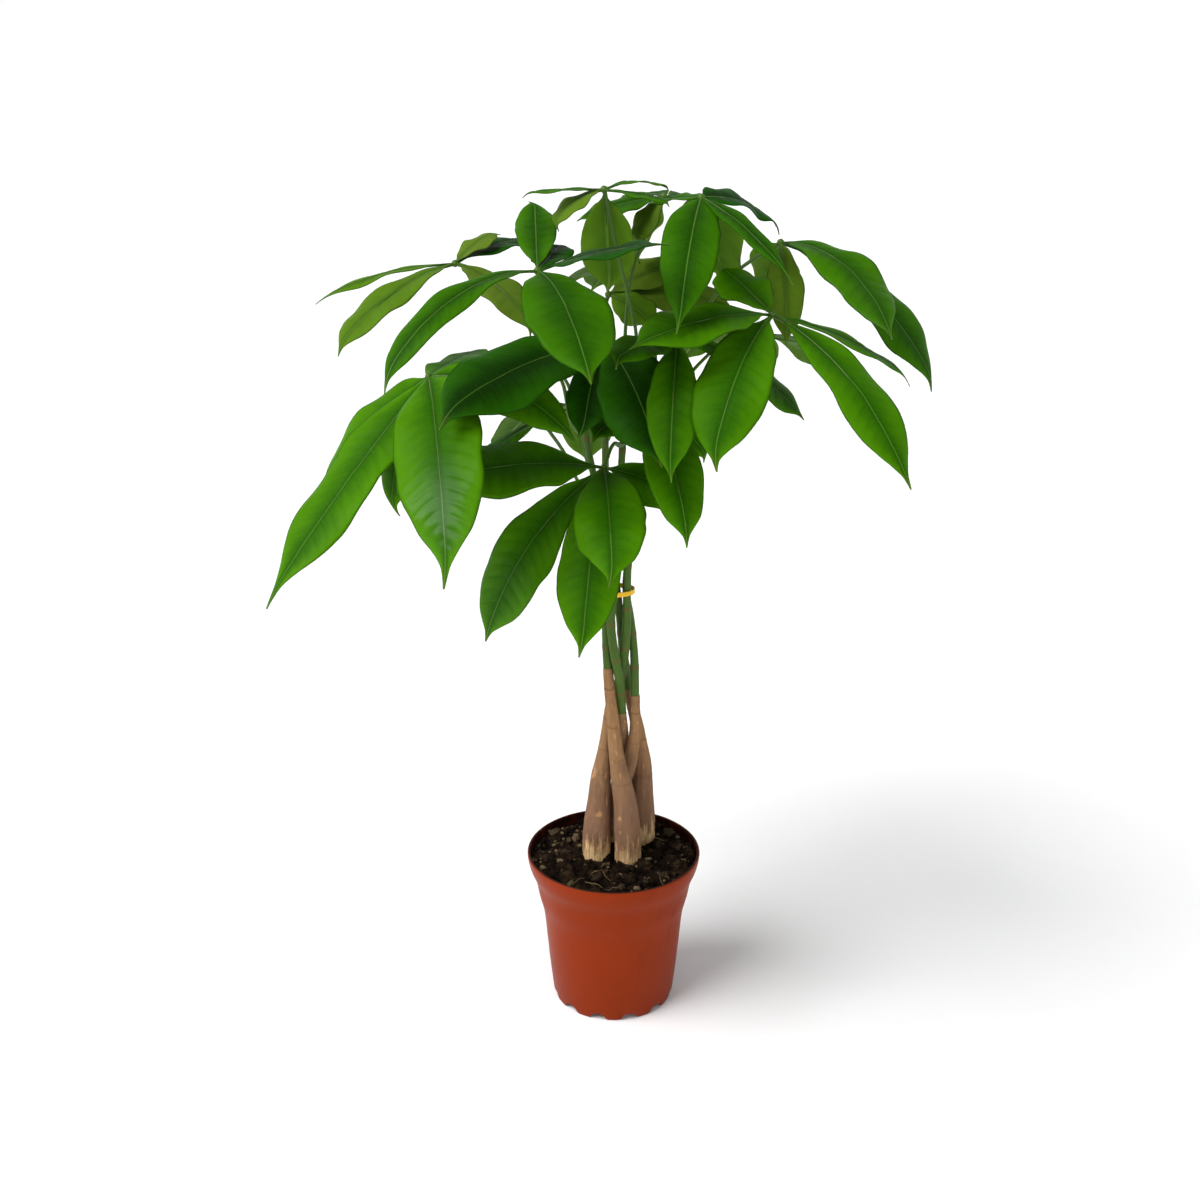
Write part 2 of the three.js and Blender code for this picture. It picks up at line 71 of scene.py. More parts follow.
TIE_THICKNESS = 1 * MM
TIE_HALF_WIDTH = 12.8 * MM
TIE_HALF_DEPTH = 9.9 * MM
TIE_CENTRE = Vector((0.7 * MM, 1.6 * MM, TIE_HEIGHT))
TIE_SIDES = 96
TIE_BEVEL = 0.35 * MM
PETIOLE_FOOT = 2.1 * MM
PETIOLE_TIP = 1.15 * MM
HUB_RADIUS = 2.3 * MM
COLLAR_OUT = 5.2 * MM            # how far a petiole runs level before it turns to its route
COLLAR_UP = 0.6 * MM

# The outside of the pot wall, from the foot to the lip: radius and height in millimetres.
POT_OUTSIDE = [
    (42.0, 0), (42.8, 5), (44.9, 24), (46.8, 45), (48.3, 64), (49.6, 71), (51.9, 78.5), (53.0, 85),
    (54.1, 91.5), (55.9, 96), (58.4, 101.5), (59.7, 108), (60.0, 111.2),
]
POT_LEVELS = [(height, radius) for radius, height in POT_OUTSIDE]
POT_LIP = [(59.4, 112), (58.3, 112), (57.7, 111.4)]

# Each plant's trunk and stem follow one line of stations: height, x, y and radius in millimetres.
# The bark ends at bark_top, where the green stem begins. Rings are the heights of the old leaf scars.
PLANTS = {
    "left": {
        "bark_top": 222,
        "rings": [169, 186, 208, 240, 262, 291, 322, 352, 383],
        "stations": [
            (78, -12, 1, 8.8), (96, -12, 2, 10.2), (113, -11.7, 2, 10.2), (135, -11, 3.5, 9.2),
            (150, -10, 5, 7.8), (165, -8.7, 6, 6.9), (189, -4.8, 9, 5.2), (204, -3, 10, 4.6),
            (217, -1.5, 10.5, 4.2), (229, 2, 10.3, 3.8), (243, 5.5, 7.5, 3.6), (254, 6.3, 4.5, 3.5),
            (266, 7.2, 1.5, 3.4), (284, 8.3, -0.5, 3.0), (303, 8.2, -1.5, 2.7), (330, 9.4, -1.5, 2.5),
            (350, 13, -1.5, 2.4), (366, 18, 0, 2.3), (420, 31, 5, 2.0),
        ],
    },
    "front": {
        "bark_top": 248,
        "rings": [166, 183, 207, 234, 262, 290, 318, 349, 380, 410, 440],
        "stations": [
            (78, 10, -4, 8.6), (96, 10, -4, 9.8), (116, 9.8, -4, 9.8), (135, 9, -3.8, 9.0),
            (149, 7.9, -3.5, 8.0), (167, 4.9, -3, 6.9), (179, 2.7, -2.5, 5.6), (194, 0.7, -2, 4.9),
            (210, -0.4, -1.5, 4.3), (222, -2, -1, 3.9), (233, -3.1, 0, 3.6), (254, -4.4, 3, 3.3),
            (268, -5.1, 3.5, 3.1), (284, -5.5, 3.5, 2.9), (303, -5.5, 2.5, 2.7), (340, -6.2, 1, 2.5),
            (370, -6.3, 0, 2.4), (400, -6, -3, 2.3), (465, -8, -8, 1.9),
        ],
    },
    "middle": {
        "bark_top": 214,
        "rings": [168, 196, 229, 255, 281, 309, 338, 369, 398],
        "stations": [
            (78, 7.5, 38.5, 8), (96, 7.5, 38.5, 8.8), (113, 7.5, 37.5, 8.8), (135, 8, 34, 8),
            (155, 8, 28, 6.5), (175, 7, 20.5, 5.2), (187, 6, 15.5, 4.6), (200, 5.9, 8.5, 4.0),
            (211, 5.1, 5.5, 3.6), (231, 4.2, 1.8, 3.3), (243, 3.1, -1, 3.2), (254, 1.2, -2.4, 3.2),
            (268, -1.1, -2.8, 3.1), (285, -2.2, -3.2, 2.9), (303, 0, -3, 2.7), (330, 2, -3, 2.5),
            (360, 3.2, -3, 2.4), (395, 4.5, -1, 2.3), (440, 8, 2, 2.0),
        ],
    },
    "right_front": {
        "bark_top": 227,
        "rings": [163, 191, 214, 247, 271, 298, 327, 357, 386],
        "stations": [
            (78, -4, 23, 8.4), (96, -4, 23, 9.5), (113, -3, 22, 9.3), (130, -3, 21, 8.2),
            (142, 0, 18.5, 7.6), (155, 4.4, 14.4, 6.6), (162, 7.6, 12, 5.8), (173, 10.9, 9, 4.8),
            (187, 13.1, 7, 4.3), (201, 14.4, 6, 3.8), (224, 14, 5, 3.3), (252, 13.6, 5.4, 2.9),
            (266, 12.5, 7, 2.8), (284, 10.4, 7, 2.7), (303, 7.6, 4.7, 2.6), (330, 10.2, 6, 2.5),
            (350, 14.5, 7.5, 2.4), (366, 19, 9.5, 2.3), (400, 24, 16, 2.2), (430, 27, 22, 2.0),
        ],
    },
    "right": {
        "bark_top": 226,
        "rings": [160, 188, 211, 243, 269, 296, 325, 350, 374, 400],
        "stations": [
            (78, 20, 24, 8.4), (96, 20.5, 24, 9.4), (113, 21, 24, 9.3), (138, 20.4, 22.5, 8.1),
            (150, 20.4, 21, 7.3), (167, 20.7, 20, 5.8), (181, 18.9, 19.5, 5.0), (203, 15, 19, 4.4),
            (217, 11.8, 18.5, 4.0), (232, 8.9, 18, 3.7), (247, 6.8, 16, 3.5), (275, 4.6, 11, 3.1),
            (303, 1.4, 6.6, 2.7), (330, -2, 10, 2.5), (360, -10, 15, 2.4), (400, -18, 20, 2.2),
            (430, -22, 24, 2.0),
        ],
    },
}

# Each leaf: the stem it grows from and the height where it does, the petiole's route from there, the place
# of its hub, where its face leans (heading, and tilt from level), and how light its green is, from 0 to 1.
# Its leaflets are heading, rise, droop (degrees), length and width. A shoulder below 1 brings their widest
# part nearer the hub. The glossy, the pale and the dark ones are listed; the pale ones, and tones near 1,
# are painted with the glow of light shining through them. Lengths are in millimetres.
LEAVES = {
    "low_front": {
        "stem": "middle", "from": 402, "via": [(-1, -16, 406)], "hub": (-7, -34, 396), "face": (-100, 30),
        "tone": 0.78, "glossy": [1],
        "leaflets": [
            (-146, 17, 25, 128, 50), (-163, -33, 42, 135, 44), (-99, -30, 35, 126, 38),
            (-87, 2, 52, 108, 43), (-27, -1, 30, 66, 34),
        ],
    },
    "middle_right": {
        "stem": "middle", "from": 424, "via": [(13, -8, 430)], "hub": (20, -14, 427), "face": (-80, 30),
        "tone": 0.65,
        "leaflets": [(-77, -1, 60, 117, 34), (-25, -12, 40, 50, 28), (-125, 15, 40, 61, 26)],
    },
    "far_left": {
        "stem": "right", "from": 356,
        "via": [(-22, 8, 372), (-36, -8, 405), (-63, -28, 439), (-99, -42, 453)],
        "hub": (-111, -45, 455), "face": (-125, 30), "tone": 0.76, "shoulder": 0.72, "glossy": [2],
        "leaflets": [
            (-129, -33, 10, 172, 42), (-170, -33, 25, 100, 38), (-81, -5, 65, 158, 53),
            (-150, -56, 30, 88, 40), (-18, 10, 59, 103, 36), (68, 7, 10, 80, 30),
        ],
    },
    "far_right": {
        "stem": "left", "from": 396, "via": [(40, -6, 412), (60, -18, 440), (80, -32, 470)],
        "hub": (92, -40, 491), "face": (-75, 18), "tone": 0.7,
        "leaflets": [
            (-115, -9, 55, 123, 42), (-52, -11, 48, 144, 35), (22, -15, 20, 111, 18), (132, 34, 12, 50, 38),
            (-140, 10, 25, 111, 40),
        ],
    },
    "left_front": {
        "stem": "front", "from": 459, "via": [(-22, -32, 492)], "hub": (-45, -62, 520), "face": (-80, 12),
        "tone": 0.4, "dark": [3, 4],
        "leaflets": [
            (93, 17, -5, 94, 25), (-133, 8, 60, 136, 23), (-74, 3, 45, 123, 48), (-36, 21, 12, 90, 30),
            (78, 9, 5, 66, 24),
        ],
    },
    "right_front": {
        "stem": "left", "from": 413, "via": [(34, -22, 450)], "hub": (36, -48, 479), "face": (-90, 12),
        "tone": 0.6,
        "leaflets": [
            (-95, -12, 55, 106, 29), (-124, 9, 20, 70, 32), (-5, -12, 40, 92, 38), (60, 8, 0, 40, 22),
        ],
    },
    "top_left": {
        "stem": "middle", "from": 437, "via": [(13, 0, 470), (8, -1, 495), (1.5, -2, 520)],
        "hub": (-7, -5, 559), "face": (0, 0), "tone": 0.6, "pale": [2, 3],
        "leaflets": [
            (-160, 4, 8, 52, 12), (25, 21, 46, 47, 13), (80, -62, 20, 68, 34), (-150, -5, 45, 42, 24),
            (-30, -2, 8, 46, 18),
        ],
    },
    "middle_back": {
        "stem": "right", "from": 424, "via": [(-14, 34, 458)], "hub": (-4, 40, 489), "face": (-90, 35),
        "tone": 1.0,
        "leaflets": [(3, 6, 25, 84, 34), (-40, -8, 30, 40, 26), (20, 32, 25, 54, 28)],
    },
    "top_right": {
        "stem": "right_front", "from": 427, "via": [(36, -5, 470), (46, -14, 520)], "hub": (50, -20, 556),
        "face": (-80, 15), "tone": 0.38, "shoulder": 0.7, "pale": [4], "dark": [2],
        "leaflets": [
            (-101, -15, 45, 108, 33), (-60, -10, 22, 98, 15), (30, 3, 48, 66, 40), (135, -3, 10, 45, 22),
            (66, -38, 36, 77, 46),
        ],
    },
    "right_back": {
        "stem": "right_front", "from": 412, "via": [(40, 20, 450), (55, 22, 480), (75, 25, 505)],
        "hub": (103, 30, 523), "face": (-60, 28), "tone": 0.45, "glossy": [0], "pale": [2, 3],
        "leaflets": [
            (-50, 9, 70, 111, 42), (-17, -15, 50, 138, 42), (-90, -14, 60, 80, 24), (88, -13, 50, 93, 36),
        ],
    },
    "top_back": {
        "stem": "middle", "from": 430, "via": [(6, 8, 465), (12, 15, 513), (24, 28, 538)],
        "hub": (30, 30, 551), "face": (-90, 12), "tone": 0.3, "pale": [1, 2],
        "leaflets": [
            (-172, -6, 14, 56, 32), (-150, -40, 25, 34, 20), (128, -42, 30, 52, 32), (50, -2, 18, 70, 32),
            (110, 2, 20, 62, 30),
        ],
    },
    "left_back": {
        "stem": "right", "from": 405, "via": [(-35, 24, 440), (-67, 28, 487), (-88, 30, 506)],
        "hub": (-100, 30, 510), "face": (-100, 0), "tone": 0.95, "dark": [3],
        "leaflets": [
            (-155, 2, 25, 93, 15), (-129, -3, 35, 114, 31), (40, 42, 30, 38, 24), (42, 22, 28, 68, 40),
            (-44, -4, 40, 82, 34),
        ],
    },
    "middle_front": {
        "stem": "front", "from": 440, "via": [(-6, -20, 462)], "hub": (-6, -30, 471), "face": (-110, 36),
        "tone": 0.08,
        "leaflets": [(-137, 6, 34, 134, 56), (-71, -6, 45, 108, 46), (-105, -15, 50, 72, 28)],
    },
    "back_left": {
        "stem": "right", "from": 414, "via": [(-32, 56, 430)], "hub": (-44, 84, 440), "face": (120, 15),
        "tone": 0.6,
        "leaflets": [
            (165, -2, 45, 80, 36), (132, 5, 50, 106, 40), (95, 2, 50, 100, 38), (55, 5, 35, 80, 32),
            (-150, -4, 30, 62, 30),
        ],
    },
    "back": {
        "stem": "right_front", "from": 419, "via": [(26, 55, 465)], "hub": (24, 80, 500), "face": (90, 12),
        "tone": 0.7,
        "leaflets": [(158, 3, 35, 80, 32), (115, 5, 45, 98, 38), (75, 2, 50, 104, 38), (32, 6, 35, 88, 34)],
    },
    "back_right": {
        "stem": "right_front", "from": 398, "via": [(45, 46, 430), (66, 68, 448)], "hub": (80, 80, 456),
        "face": (60, 15), "tone": 0.55,
        "leaflets": [
            (112, 0, 45, 92, 36), (72, -2, 50, 100, 38), (32, -2, 45, 112, 38), (-8, 2, 40, 92, 34),
            (155, 4, 25, 65, 28),
        ],
    },
    "low_back": {
        "stem": "right", "from": 380, "via": [(-22, 40, 402)], "hub": (-25, 58, 412), "face": (100, 10),
        "tone": 0.45,
        "leaflets": [
            (-172, 14, 30, 95, 32), (-150, -8, 40, 120, 32), (130, -5, 50, 110, 36), (85, -8, 55, 115, 38),
            (40, -5, 45, 95, 34),
        ],
    },
}


# ---------- camera, floor and light ----------

CAMERA_PLACE = (-9.4 * MM, -980 * MM, 665 * MM)
CAMERA_PITCH = 20.6              # degrees below level
LENS = 48
SENSOR = 36
LIGHT_AIM = Vector((0, 0, 0.3))
SKY_LEVEL = (1, 1, 1, 1)
SKY_OVERHEAD = (0.35, 0.35, 0.36, 1)
SKY_TURN = (0.03, 0.5)           # sine of the heights between which the sky darkens
DAYLIGHT = {"heading": -152, "height": 50, "strength": 3.3, "spread": 44}
FILL = {"place": (0.9, -1.9, 0.9), "size": 1.2, "power": 7}
FLOOR_SIZE = 60


def stand(name, data, place=(0, 0, 0)):
    """Stands the camera or a lamp in the scene."""
    thing = bpy.data.objects.new(name, data)
    bpy.context.scene.collection.objects.link(thing)
    thing.location = place
    return thing


def add_camera():
    camera = stand("camera", bpy.data.cameras.new("camera"), CAMERA_PLACE)
    camera.rotation_euler = (math.radians(90 - CAMERA_PITCH), 0, 0)
    camera.data.lens = LENS
    camera.data.sensor_width = SENSOR
    bpy.context.scene.camera = camera


def add_softbox(name, place, size, power):
    """A square light panel that faces the plant."""
    panel = bpy.data.lights.new(name, "AREA")
    panel.shape = "SQUARE"
    panel.size = size
    panel.energy = power
    lamp = stand(name, panel, place)
    lamp.rotation_euler = (LIGHT_AIM - Vector(place)).to_track_quat("-Z", "Y").to_euler()


def add_daylight(name, heading, height, strength, spread):
    """Even light from far away, from a heading and height in degrees, as soft as its spread is wide."""
    sun = bpy.data.lights.new(name, "SUN")
    sun.energy = strength
    sun.angle = math.radians(spread)
    lamp = stand(name, sun)
    lamp.rotation_euler = direction(heading, height).to_track_quat("Z", "Y").to_euler()


def add_surroundings():
    scene = bpy.context.scene
    scene.view_settings.view_transform = "Standard"
    world = bpy.data.worlds.new("studio")
    scene.world = world
    world.use_nodes = True
    sky = Shading(world.node_tree, "Background")
    height = sky.node("SeparateXYZ", None, [sky.node("TexCoord", output="Generated")], output="Z")
    sky.set(color=sky.mix(sky.smooth(height, *SKY_TURN), SKY_LEVEL, SKY_OVERHEAD), strength=1)
    add_daylight("key_light", **DAYLIGHT)
    add_softbox("fill_light", **FILL)

    floor = add(bpy.ops.mesh.primitive_plane_add, size=FLOOR_SIZE)
    floor.name = "floor"
    paper = Finish("white_floor")
    paper.set(base_color=srgb(249, 249, 249), roughness=0.9, specular_ior_level=0.0)
    floor.data.materials.append(paper.material)


# ---------- materials ----------

def srgb(red, green, blue):
    """A colour as the eye reads it, 0 to 255, as the linear colour that a shader takes."""
    def linear(value):
        value /= 255
        return value / 12.92 if value <= 0.04045 else ((value + 0.055) / 1.055) ** 2.4
    return linear(red), linear(green), linear(blue), 1.0


class Value:
    """What a shader node gives. Arithmetic on it adds Math nodes."""

    def __init__(self, finish, socket):
        self.finish = finish
        self.socket = socket

    def math(self, operation, *values):
        return self.finish.node("Math", {"operation": operation}, values)

    def __add__(self, other):
        return self.math("ADD", self, other)

    def __radd__(self, other):
        return self.math("ADD", other, self)

    def __sub__(self, other):
        return self.math("SUBTRACT", self, other)

    def __rsub__(self, other):
        return self.math("SUBTRACT", other, self)

    def __mul__(self, other):
        return self.math("MULTIPLY", self, other)

    def __rmul__(self, other):
        return self.math("MULTIPLY", other, self)

    def __abs__(self):
        return self.math("ABSOLUTE", self)


class Shading:
    """A tree of shader nodes and the shader at its end."""

    def __init__(self, tree, shader):
        self.tree = tree
        self.shader = tree.nodes[shader]

    def node(self, kind, settings=None, sockets=(), output=0):
        """Adds a node: its settings first, then the values or links of its sockets, by name or in order."""
        node = self.tree.nodes.new("ShaderNode" + kind)
        for setting, value in (settings or {}).items():
            setattr(node, setting, value)
        pairs = sockets.items() if isinstance(sockets, dict) else enumerate(sockets)
        for key, value in pairs:
            self.feed(node.inputs[key], value)
        return Value(self, node.outputs[output])

    def feed(self, socket, value):
        if isinstance(value, Value):
            self.tree.links.new(value.socket, socket)
        else:
            socket.default_value = value

    def set(self, **values):
        """Feeds the shader's sockets, named in lower case with underscores."""
        sockets = {socket.name.lower().replace(" ", "_"): socket for socket in self.shader.inputs}
        for name, value in values.items():
            self.feed(sockets[name], value)

    def mix(self, factor, first, second):
        sockets = {0: factor, 6: first, 7: second}
        return self.node("Mix", {"data_type": "RGBA"}, sockets, output=2)

    def smooth(self, value, low, high):
        """0 below low, 1 above high, with a smooth step between."""
        sockets = {"Value": value, "From Min": low, "From Max": high}
        return self.node("MapRange", {"interpolation_type": "SMOOTHSTEP"}, sockets)

    def place(self, stretch=(1, 1, 1)):
        """Object coordinates, stretched along the axes."""
        spot = self.node("TexCoord", output="Object")
        return self.node("Mapping", None, {"Vector": spot, "Scale": stretch})

    def noise(self, scale, detail=3, roughness=0.55, at=None):
        sockets = {"Vector": at or self.place(), "Scale": scale, "Detail": detail, "Roughness": roughness}
        return self.node("TexNoise", None, sockets, output="Fac")

    def attribute(self, name, channel):
        colour = self.node("Attribute", {"attribute_name": name}, output="Color")
        return self.node("SeparateColor", None, [colour], output=channel)

    def bump(self, height, distance, strength=1.0):
        sockets = {"Height": height, "Distance": distance, "Strength": strength}
        return self.node("Bump", None, sockets, output="Normal")


class Finish(Shading):
    """One material."""

    def __init__(self, name):
        self.material = bpy.data.materials.new(name)
        self.material.use_nodes = True
        super().__init__(self.material.node_tree, "Principled BSDF")


# How light spreads inside a leaf.
FLESH = {"subsurface_weight": 0.15, "subsurface_radius": (0.5, 1.0, 0.15), "subsurface_scale": 1 * MM}


def leaf_upper():
    """Deep green, lighter towards the margins, with a slim midrib, faint side veins, painted relief shade
    between them, a painted glow on the pale leaflets and painted shade along the edge.
    """
    finish = Finish("leaf_upper")
    along = finish.attribute("blade", "Red")
    across = finish.attribute("blade", "Green")
    tone = finish.attribute("blade", "Blue")
    veins = finish.node("UVMap", {"uv_map": "veins"}, output="UV")
    phase = finish.node("SeparateXYZ", None, [veins], output="X")
    mottle = finish.noise(60, detail=4)

    to_vein = abs(finish.node("Math", {"operation": "FRACT"}, [phase + 0.5]) - 0.5)
    inland = 1 - finish.smooth(across, 0.55, 0.95)
    # The to_vein term is painted shade of the quilted relief: darker near the side veins, lighter between
    # them.
    light = finish.smooth(across + (mottle - 0.5) * 0.7 + (to_vein - 0.25) * inland * 0.25, 0.0, 0.95)
    young = finish.mix(light, srgb(46, 100, 1), srgb(76, 132, 1))
    old = finish.mix(light, srgb(4, 35, 1), srgb(15, 68, 1))
    green = finish.mix(tone, old, young)
    # Painted glow of light shining through the leaflet: the palest tones turn a pale greyish yellow-green.
    green = finish.mix(finish.smooth(tone, 0.86, 1.0), green, srgb(86, 112, 28))
    green = finish.mix(finish.smooth(along, 0.9, 1.0) * 0.5, green, srgb(86, 96, 26))
    side_vein = (1 - finish.smooth(to_vein, 0.0, 0.07)) * inland
    green = finish.mix(side_vein * (tone * 0.2 + 0.06), green, srgb(80, 122, 22))
    from_rib = across * finish.attribute("rib", "Red") * WIDEST
    # A darker green band either side of the midrib: partly the blade's own darker green there, partly
    # painted shade of the midrib's groove.
    green = finish.mix((1 - finish.smooth(from_rib, 0.4 * MM, 3.5 * MM)) * 0.35, green, srgb(18, 58, 2))
    green = finish.mix((1 - finish.smooth(from_rib, 0.15 * MM, 0.5 * MM)) * 0.6, green, srgb(92, 134, 44))
    # Painted shade: a darker strip along the edge of the blade.
    green = finish.mix(finish.smooth(across, 0.94, 1.0) * 0.6, green, srgb(22, 50, 4))
    finish.set(
        base_color=green,
        roughness=0.4 + mottle * 0.14,
        coat_weight=finish.attribute("rib", "Green"),
        coat_roughness=0.18,
        normal=finish.bump(mottle, 0.3 * MM, 0.4),
        specular_ior_level=0.035,
        **FLESH,
    )
    return finish.material


def leaf_under():
    """The paler, duller underside."""
    finish = Finish("leaf_under")
    across = finish.attribute("blade", "Green")
    tone = finish.attribute("blade", "Blue")
    mottle = finish.noise(80, detail=4)
    light = finish.smooth(across + mottle * 0.4, 0.1, 1.2)
    green = finish.mix(light, srgb(66, 106, 14), srgb(92, 132, 24))
    green = finish.mix(tone, finish.mix(light, srgb(26, 58, 6), srgb(42, 80, 10)), green)
    from_rib = across * finish.attribute("rib", "Red") * WIDEST
    green = finish.mix((1 - finish.smooth(from_rib, 0.4 * MM, 1.2 * MM)) * 0.7, green, srgb(112, 142, 56))
    finish.set(
        base_color=green,
        roughness=0.6,
        normal=finish.bump(mottle, 0.3 * MM, 0.4),
        specular_ior_level=0.07,
        **FLESH,
    )
    return finish.material


def petiole_green():
    """The smooth leaf stalks, ribs and hubs: yellow-green with faint lengthwise streaks."""
    finish = Finish("petiole")
    streaks = finish.noise(260, detail=3, at=finish.place((1, 1, 0.12)))
    green = finish.mix(streaks, srgb(46, 80, 10), srgb(78, 112, 28))
    finish.set(
        base_color=green,
        roughness=0.4,
        normal=finish.bump(streaks, 0.15 * MM, 0.4),
        specular_ior_level=0.3,
    )
    return finish.material


def stem_green():
    """Young green bark with fine pale streaks, browner at the old leaf scars."""
    finish = Finish("stem_green")
    scar = finish.attribute("skin", "Green")
    streaks = finish.noise(300, detail=4, at=finish.place((1, 1, 0.1)))
    patches = finish.noise(45, detail=3)
    green = finish.mix(streaks, srgb(56, 82, 28), srgb(82, 112, 46))
    green = finish.mix(finish.smooth(patches, 0.5, 0.75) * 0.4, green, srgb(78, 88, 40))
    green = finish.mix(scar * 0.8, green, srgb(98, 78, 44))
    finish.set(
        base_color=green,
        roughness=0.5,
        normal=finish.bump(streaks, 0.25 * MM, 0.5),
        specular_ior_level=0.12,
    )
    return finish.material


def old_bark():
    """Grey-brown bark, warmer higher up, chipped in places and torn down to pale wood at the foot."""
    finish = Finish("old_bark")
    torn = finish.attribute("skin", "Red")
    scar = finish.attribute("skin", "Green")
    chip = finish.attribute("skin", "Blue")
    fibres = finish.noise(420, detail=5, roughness=0.65, at=finish.place((1, 1, 0.09)))
    strands = finish.noise(900, detail=3, at=finish.place((1, 1, 0.06)))
    patches = finish.noise(48, detail=4)
    height = finish.node("SeparateXYZ", None, [finish.place()], output="Z")
    grey = finish.mix(fibres, srgb(98, 70, 51), srgb(152, 116, 89))
    warm = finish.mix(fibres, srgb(118, 86, 58), srgb(172, 133, 92))
    bark = finish.mix(finish.smooth(height + patches * 0.05, 0.165, 0.225), grey, warm)
    bark = finish.mix(finish.smooth(patches, 0.48, 0.7) * 0.45, bark, srgb(92, 72, 60))
    bark = finish.mix(scar * 0.45, bark, srgb(66, 46, 32))
    bark = finish.mix(chip * 0.8, bark, finish.mix(fibres, srgb(150, 96, 58), srgb(206, 160, 112)))
    wood = finish.mix(finish.smooth(strands, 0.3, 0.66), srgb(172, 134, 88), srgb(220, 190, 142))
    wood = finish.mix(finish.smooth(patches, 0.46, 0.62) * 0.55, wood, srgb(116, 80, 50))
    colour = finish.mix(torn, bark, wood)
    finish.set(
        base_color=colour,
        roughness=0.8 - torn * 0.1,
        normal=finish.bump(fibres + strands * torn, 0.5 * MM, 0.7),
        specular_ior_level=0.12,
    )
    return finish.material


def pot_plastic():
    """Terracotta-coloured moulded plastic with a satin skin and faint scuffs, painted shade towards the
    foot, and painted shade inside with soil stains.
    """
    finish = Finish("pot_plastic")
    inside = finish.attribute("wall", "Red")
    clouds = finish.noise(16, detail=3)
    speckle = finish.noise(700, detail=2)
    scratches = finish.noise(90, detail=5, roughness=0.7, at=finish.place((1, 1, 0.35)))
    colour = finish.mix(clouds, srgb(124, 39, 4), srgb(142, 48, 6))
    height = finish.node("SeparateXYZ", None, [finish.place()], output="Z")
    # Painted shade: the wall darkens towards the foot.
    colour = finish.mix(finish.smooth(height, 0.07, 0.0) * 0.3, colour, srgb(98, 30, 3))
    scuffs = finish.smooth(scratches, 0.58, 0.72)
    colour = finish.mix(scuffs * 0.35, colour, srgb(92, 30, 9))
    # Painted shade inside the pot: the inner wall and the floor's top darkened nearly to black, mottled a
    # little by soil stains (grime).
    grime = finish.smooth(finish.noise(120, detail=5), 0.36, 0.6) * inside
    colour = finish.mix(inside * 0.8 + grime * 0.2, colour, srgb(26, 9, 6))
    rim = finish.attribute("wall", "Green")
    colour = finish.mix(rim * 0.6, colour, srgb(70, 34, 22))
    finish.set(
        base_color=colour,
        roughness=0.4 + scuffs * 0.16 + inside * 0.2,
        normal=finish.bump(speckle + scratches, 0.08 * MM, 0.5),
        specular_ior_level=0.08,
    )
    return finish.material


def potting_soil():
    """Dark damp peat with paler, drier lumps and crumbs, and painted shade in the gaps between the lumps.
    """
    finish = Finish("potting_soil")
    dry = finish.attribute("crumb", "Red")
    low = finish.attribute("crumb", "Green")
    grain = finish.noise(600, detail=6, roughness=0.7)
    clods = finish.noise(110, detail=4)
    dark = finish.mix(grain, srgb(7, 4, 2), srgb(34, 22, 12))
    light = finish.mix(grain, srgb(66, 51, 35), srgb(134, 116, 90))
    colour = finish.mix(finish.smooth(clods + grain * 0.3, 0.62, 0.84) * 0.45, dark, srgb(72, 54, 34))
    colour = finish.mix(dry, colour, light)
    # Painted shade: the low gaps between the lumps go nearly black.
    colour = finish.mix(low, colour, srgb(8, 5, 3))
    finish.set(
        base_color=colour,
        roughness=0.9,
        normal=finish.bump(grain, 1.0 * MM, 0.9),
        specular_ior_level=0.08,
    )
    return finish.material


def plain_finish(name, colour, roughness):
    finish = Finish(name)
    shade = finish.noise(220, detail=3)
    pale = tuple(min(1, channel * 1.35) for channel in colour[:3]) + (1,)
    finish.set(
        base_color=finish.mix(shade, colour, pale),
        roughness=roughness,
        normal=finish.bump(shade, 0.1 * MM, 0.4),
        specular_ior_level=0.3,
    )
    return finish.material


# ---------- modelling helpers ----------

MERGE = 0.001 * MM               # points that are closer than this are one
CURVE_STEPS = 6                  # from one point of a rod to the next


def active(piece):
    bpy.ops.object.select_all(action="DESELECT")
    piece.select_set(True)
    bpy.context.view_layer.objects.active = piece


def add(primitive, **settings):
    """A new primitive, with nothing else selected."""
    bpy.ops.object.select_all(action="DESELECT")
    primitive(**settings)
    return bpy.context.active_object


def edit_all():
    bpy.ops.object.mode_set(mode="EDIT")
    bpy.ops.mesh.select_all(action="SELECT")


def extrude(operator, rings):
    """Extrudes the ring in edit mode through the places and radii that follow its own."""
    for (last_place, last_radius), (place, radius) in zip(rings, rings[1:]):
        operator(TRANSFORM_OT_translate={"value": place - last_place})
        share = radius / last_radius
        bpy.ops.transform.resize(value=(share, share, 1), center_override=place)


def leave_edit_mode():
    bpy.ops.object.mode_set(mode="OBJECT")
    bpy.ops.object.transform_apply(location=True, rotation=True, scale=True)


def apply_modifier(piece, kind, **settings):
    active(piece)
    bpy.ops.object.modifier_add(type=kind)
    modifier = piece.modifiers[-1]
    for setting, value in settings.items():
        setattr(modifier, setting, value)
    bpy.ops.object.modifier_apply(modifier=modifier.name)


def subdivide_smoothly(piece, levels):
    apply_modifier(piece, "SUBSURF", levels=levels, render_levels=levels)


def join(pieces):
    active(pieces[0])
    for piece in pieces:
        piece.select_set(True)
    bpy.ops.object.join()
    return bpy.context.active_object


def face_outwards(piece):
    active(piece)
    edit_all()
    bpy.ops.mesh.remove_doubles(threshold=MERGE)
    bpy.ops.mesh.normals_make_consistent(inside=False)
    bpy.ops.object.mode_set(mode="OBJECT")


def hand_over(piece, name, materials, slot, *nodes):
    """Names a finished piece, gives it its finishes and says which solids it stands for."""
    active(piece)
    bpy.ops.object.transform_apply(location=True, rotation=True, scale=True)
    bpy.ops.object.shade_smooth()
    piece.name = name
    piece.data.name = name
    for material in materials:
        piece.data.materials.append(material)
    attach(piece, "root")
    if nodes:
        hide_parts(*nodes)


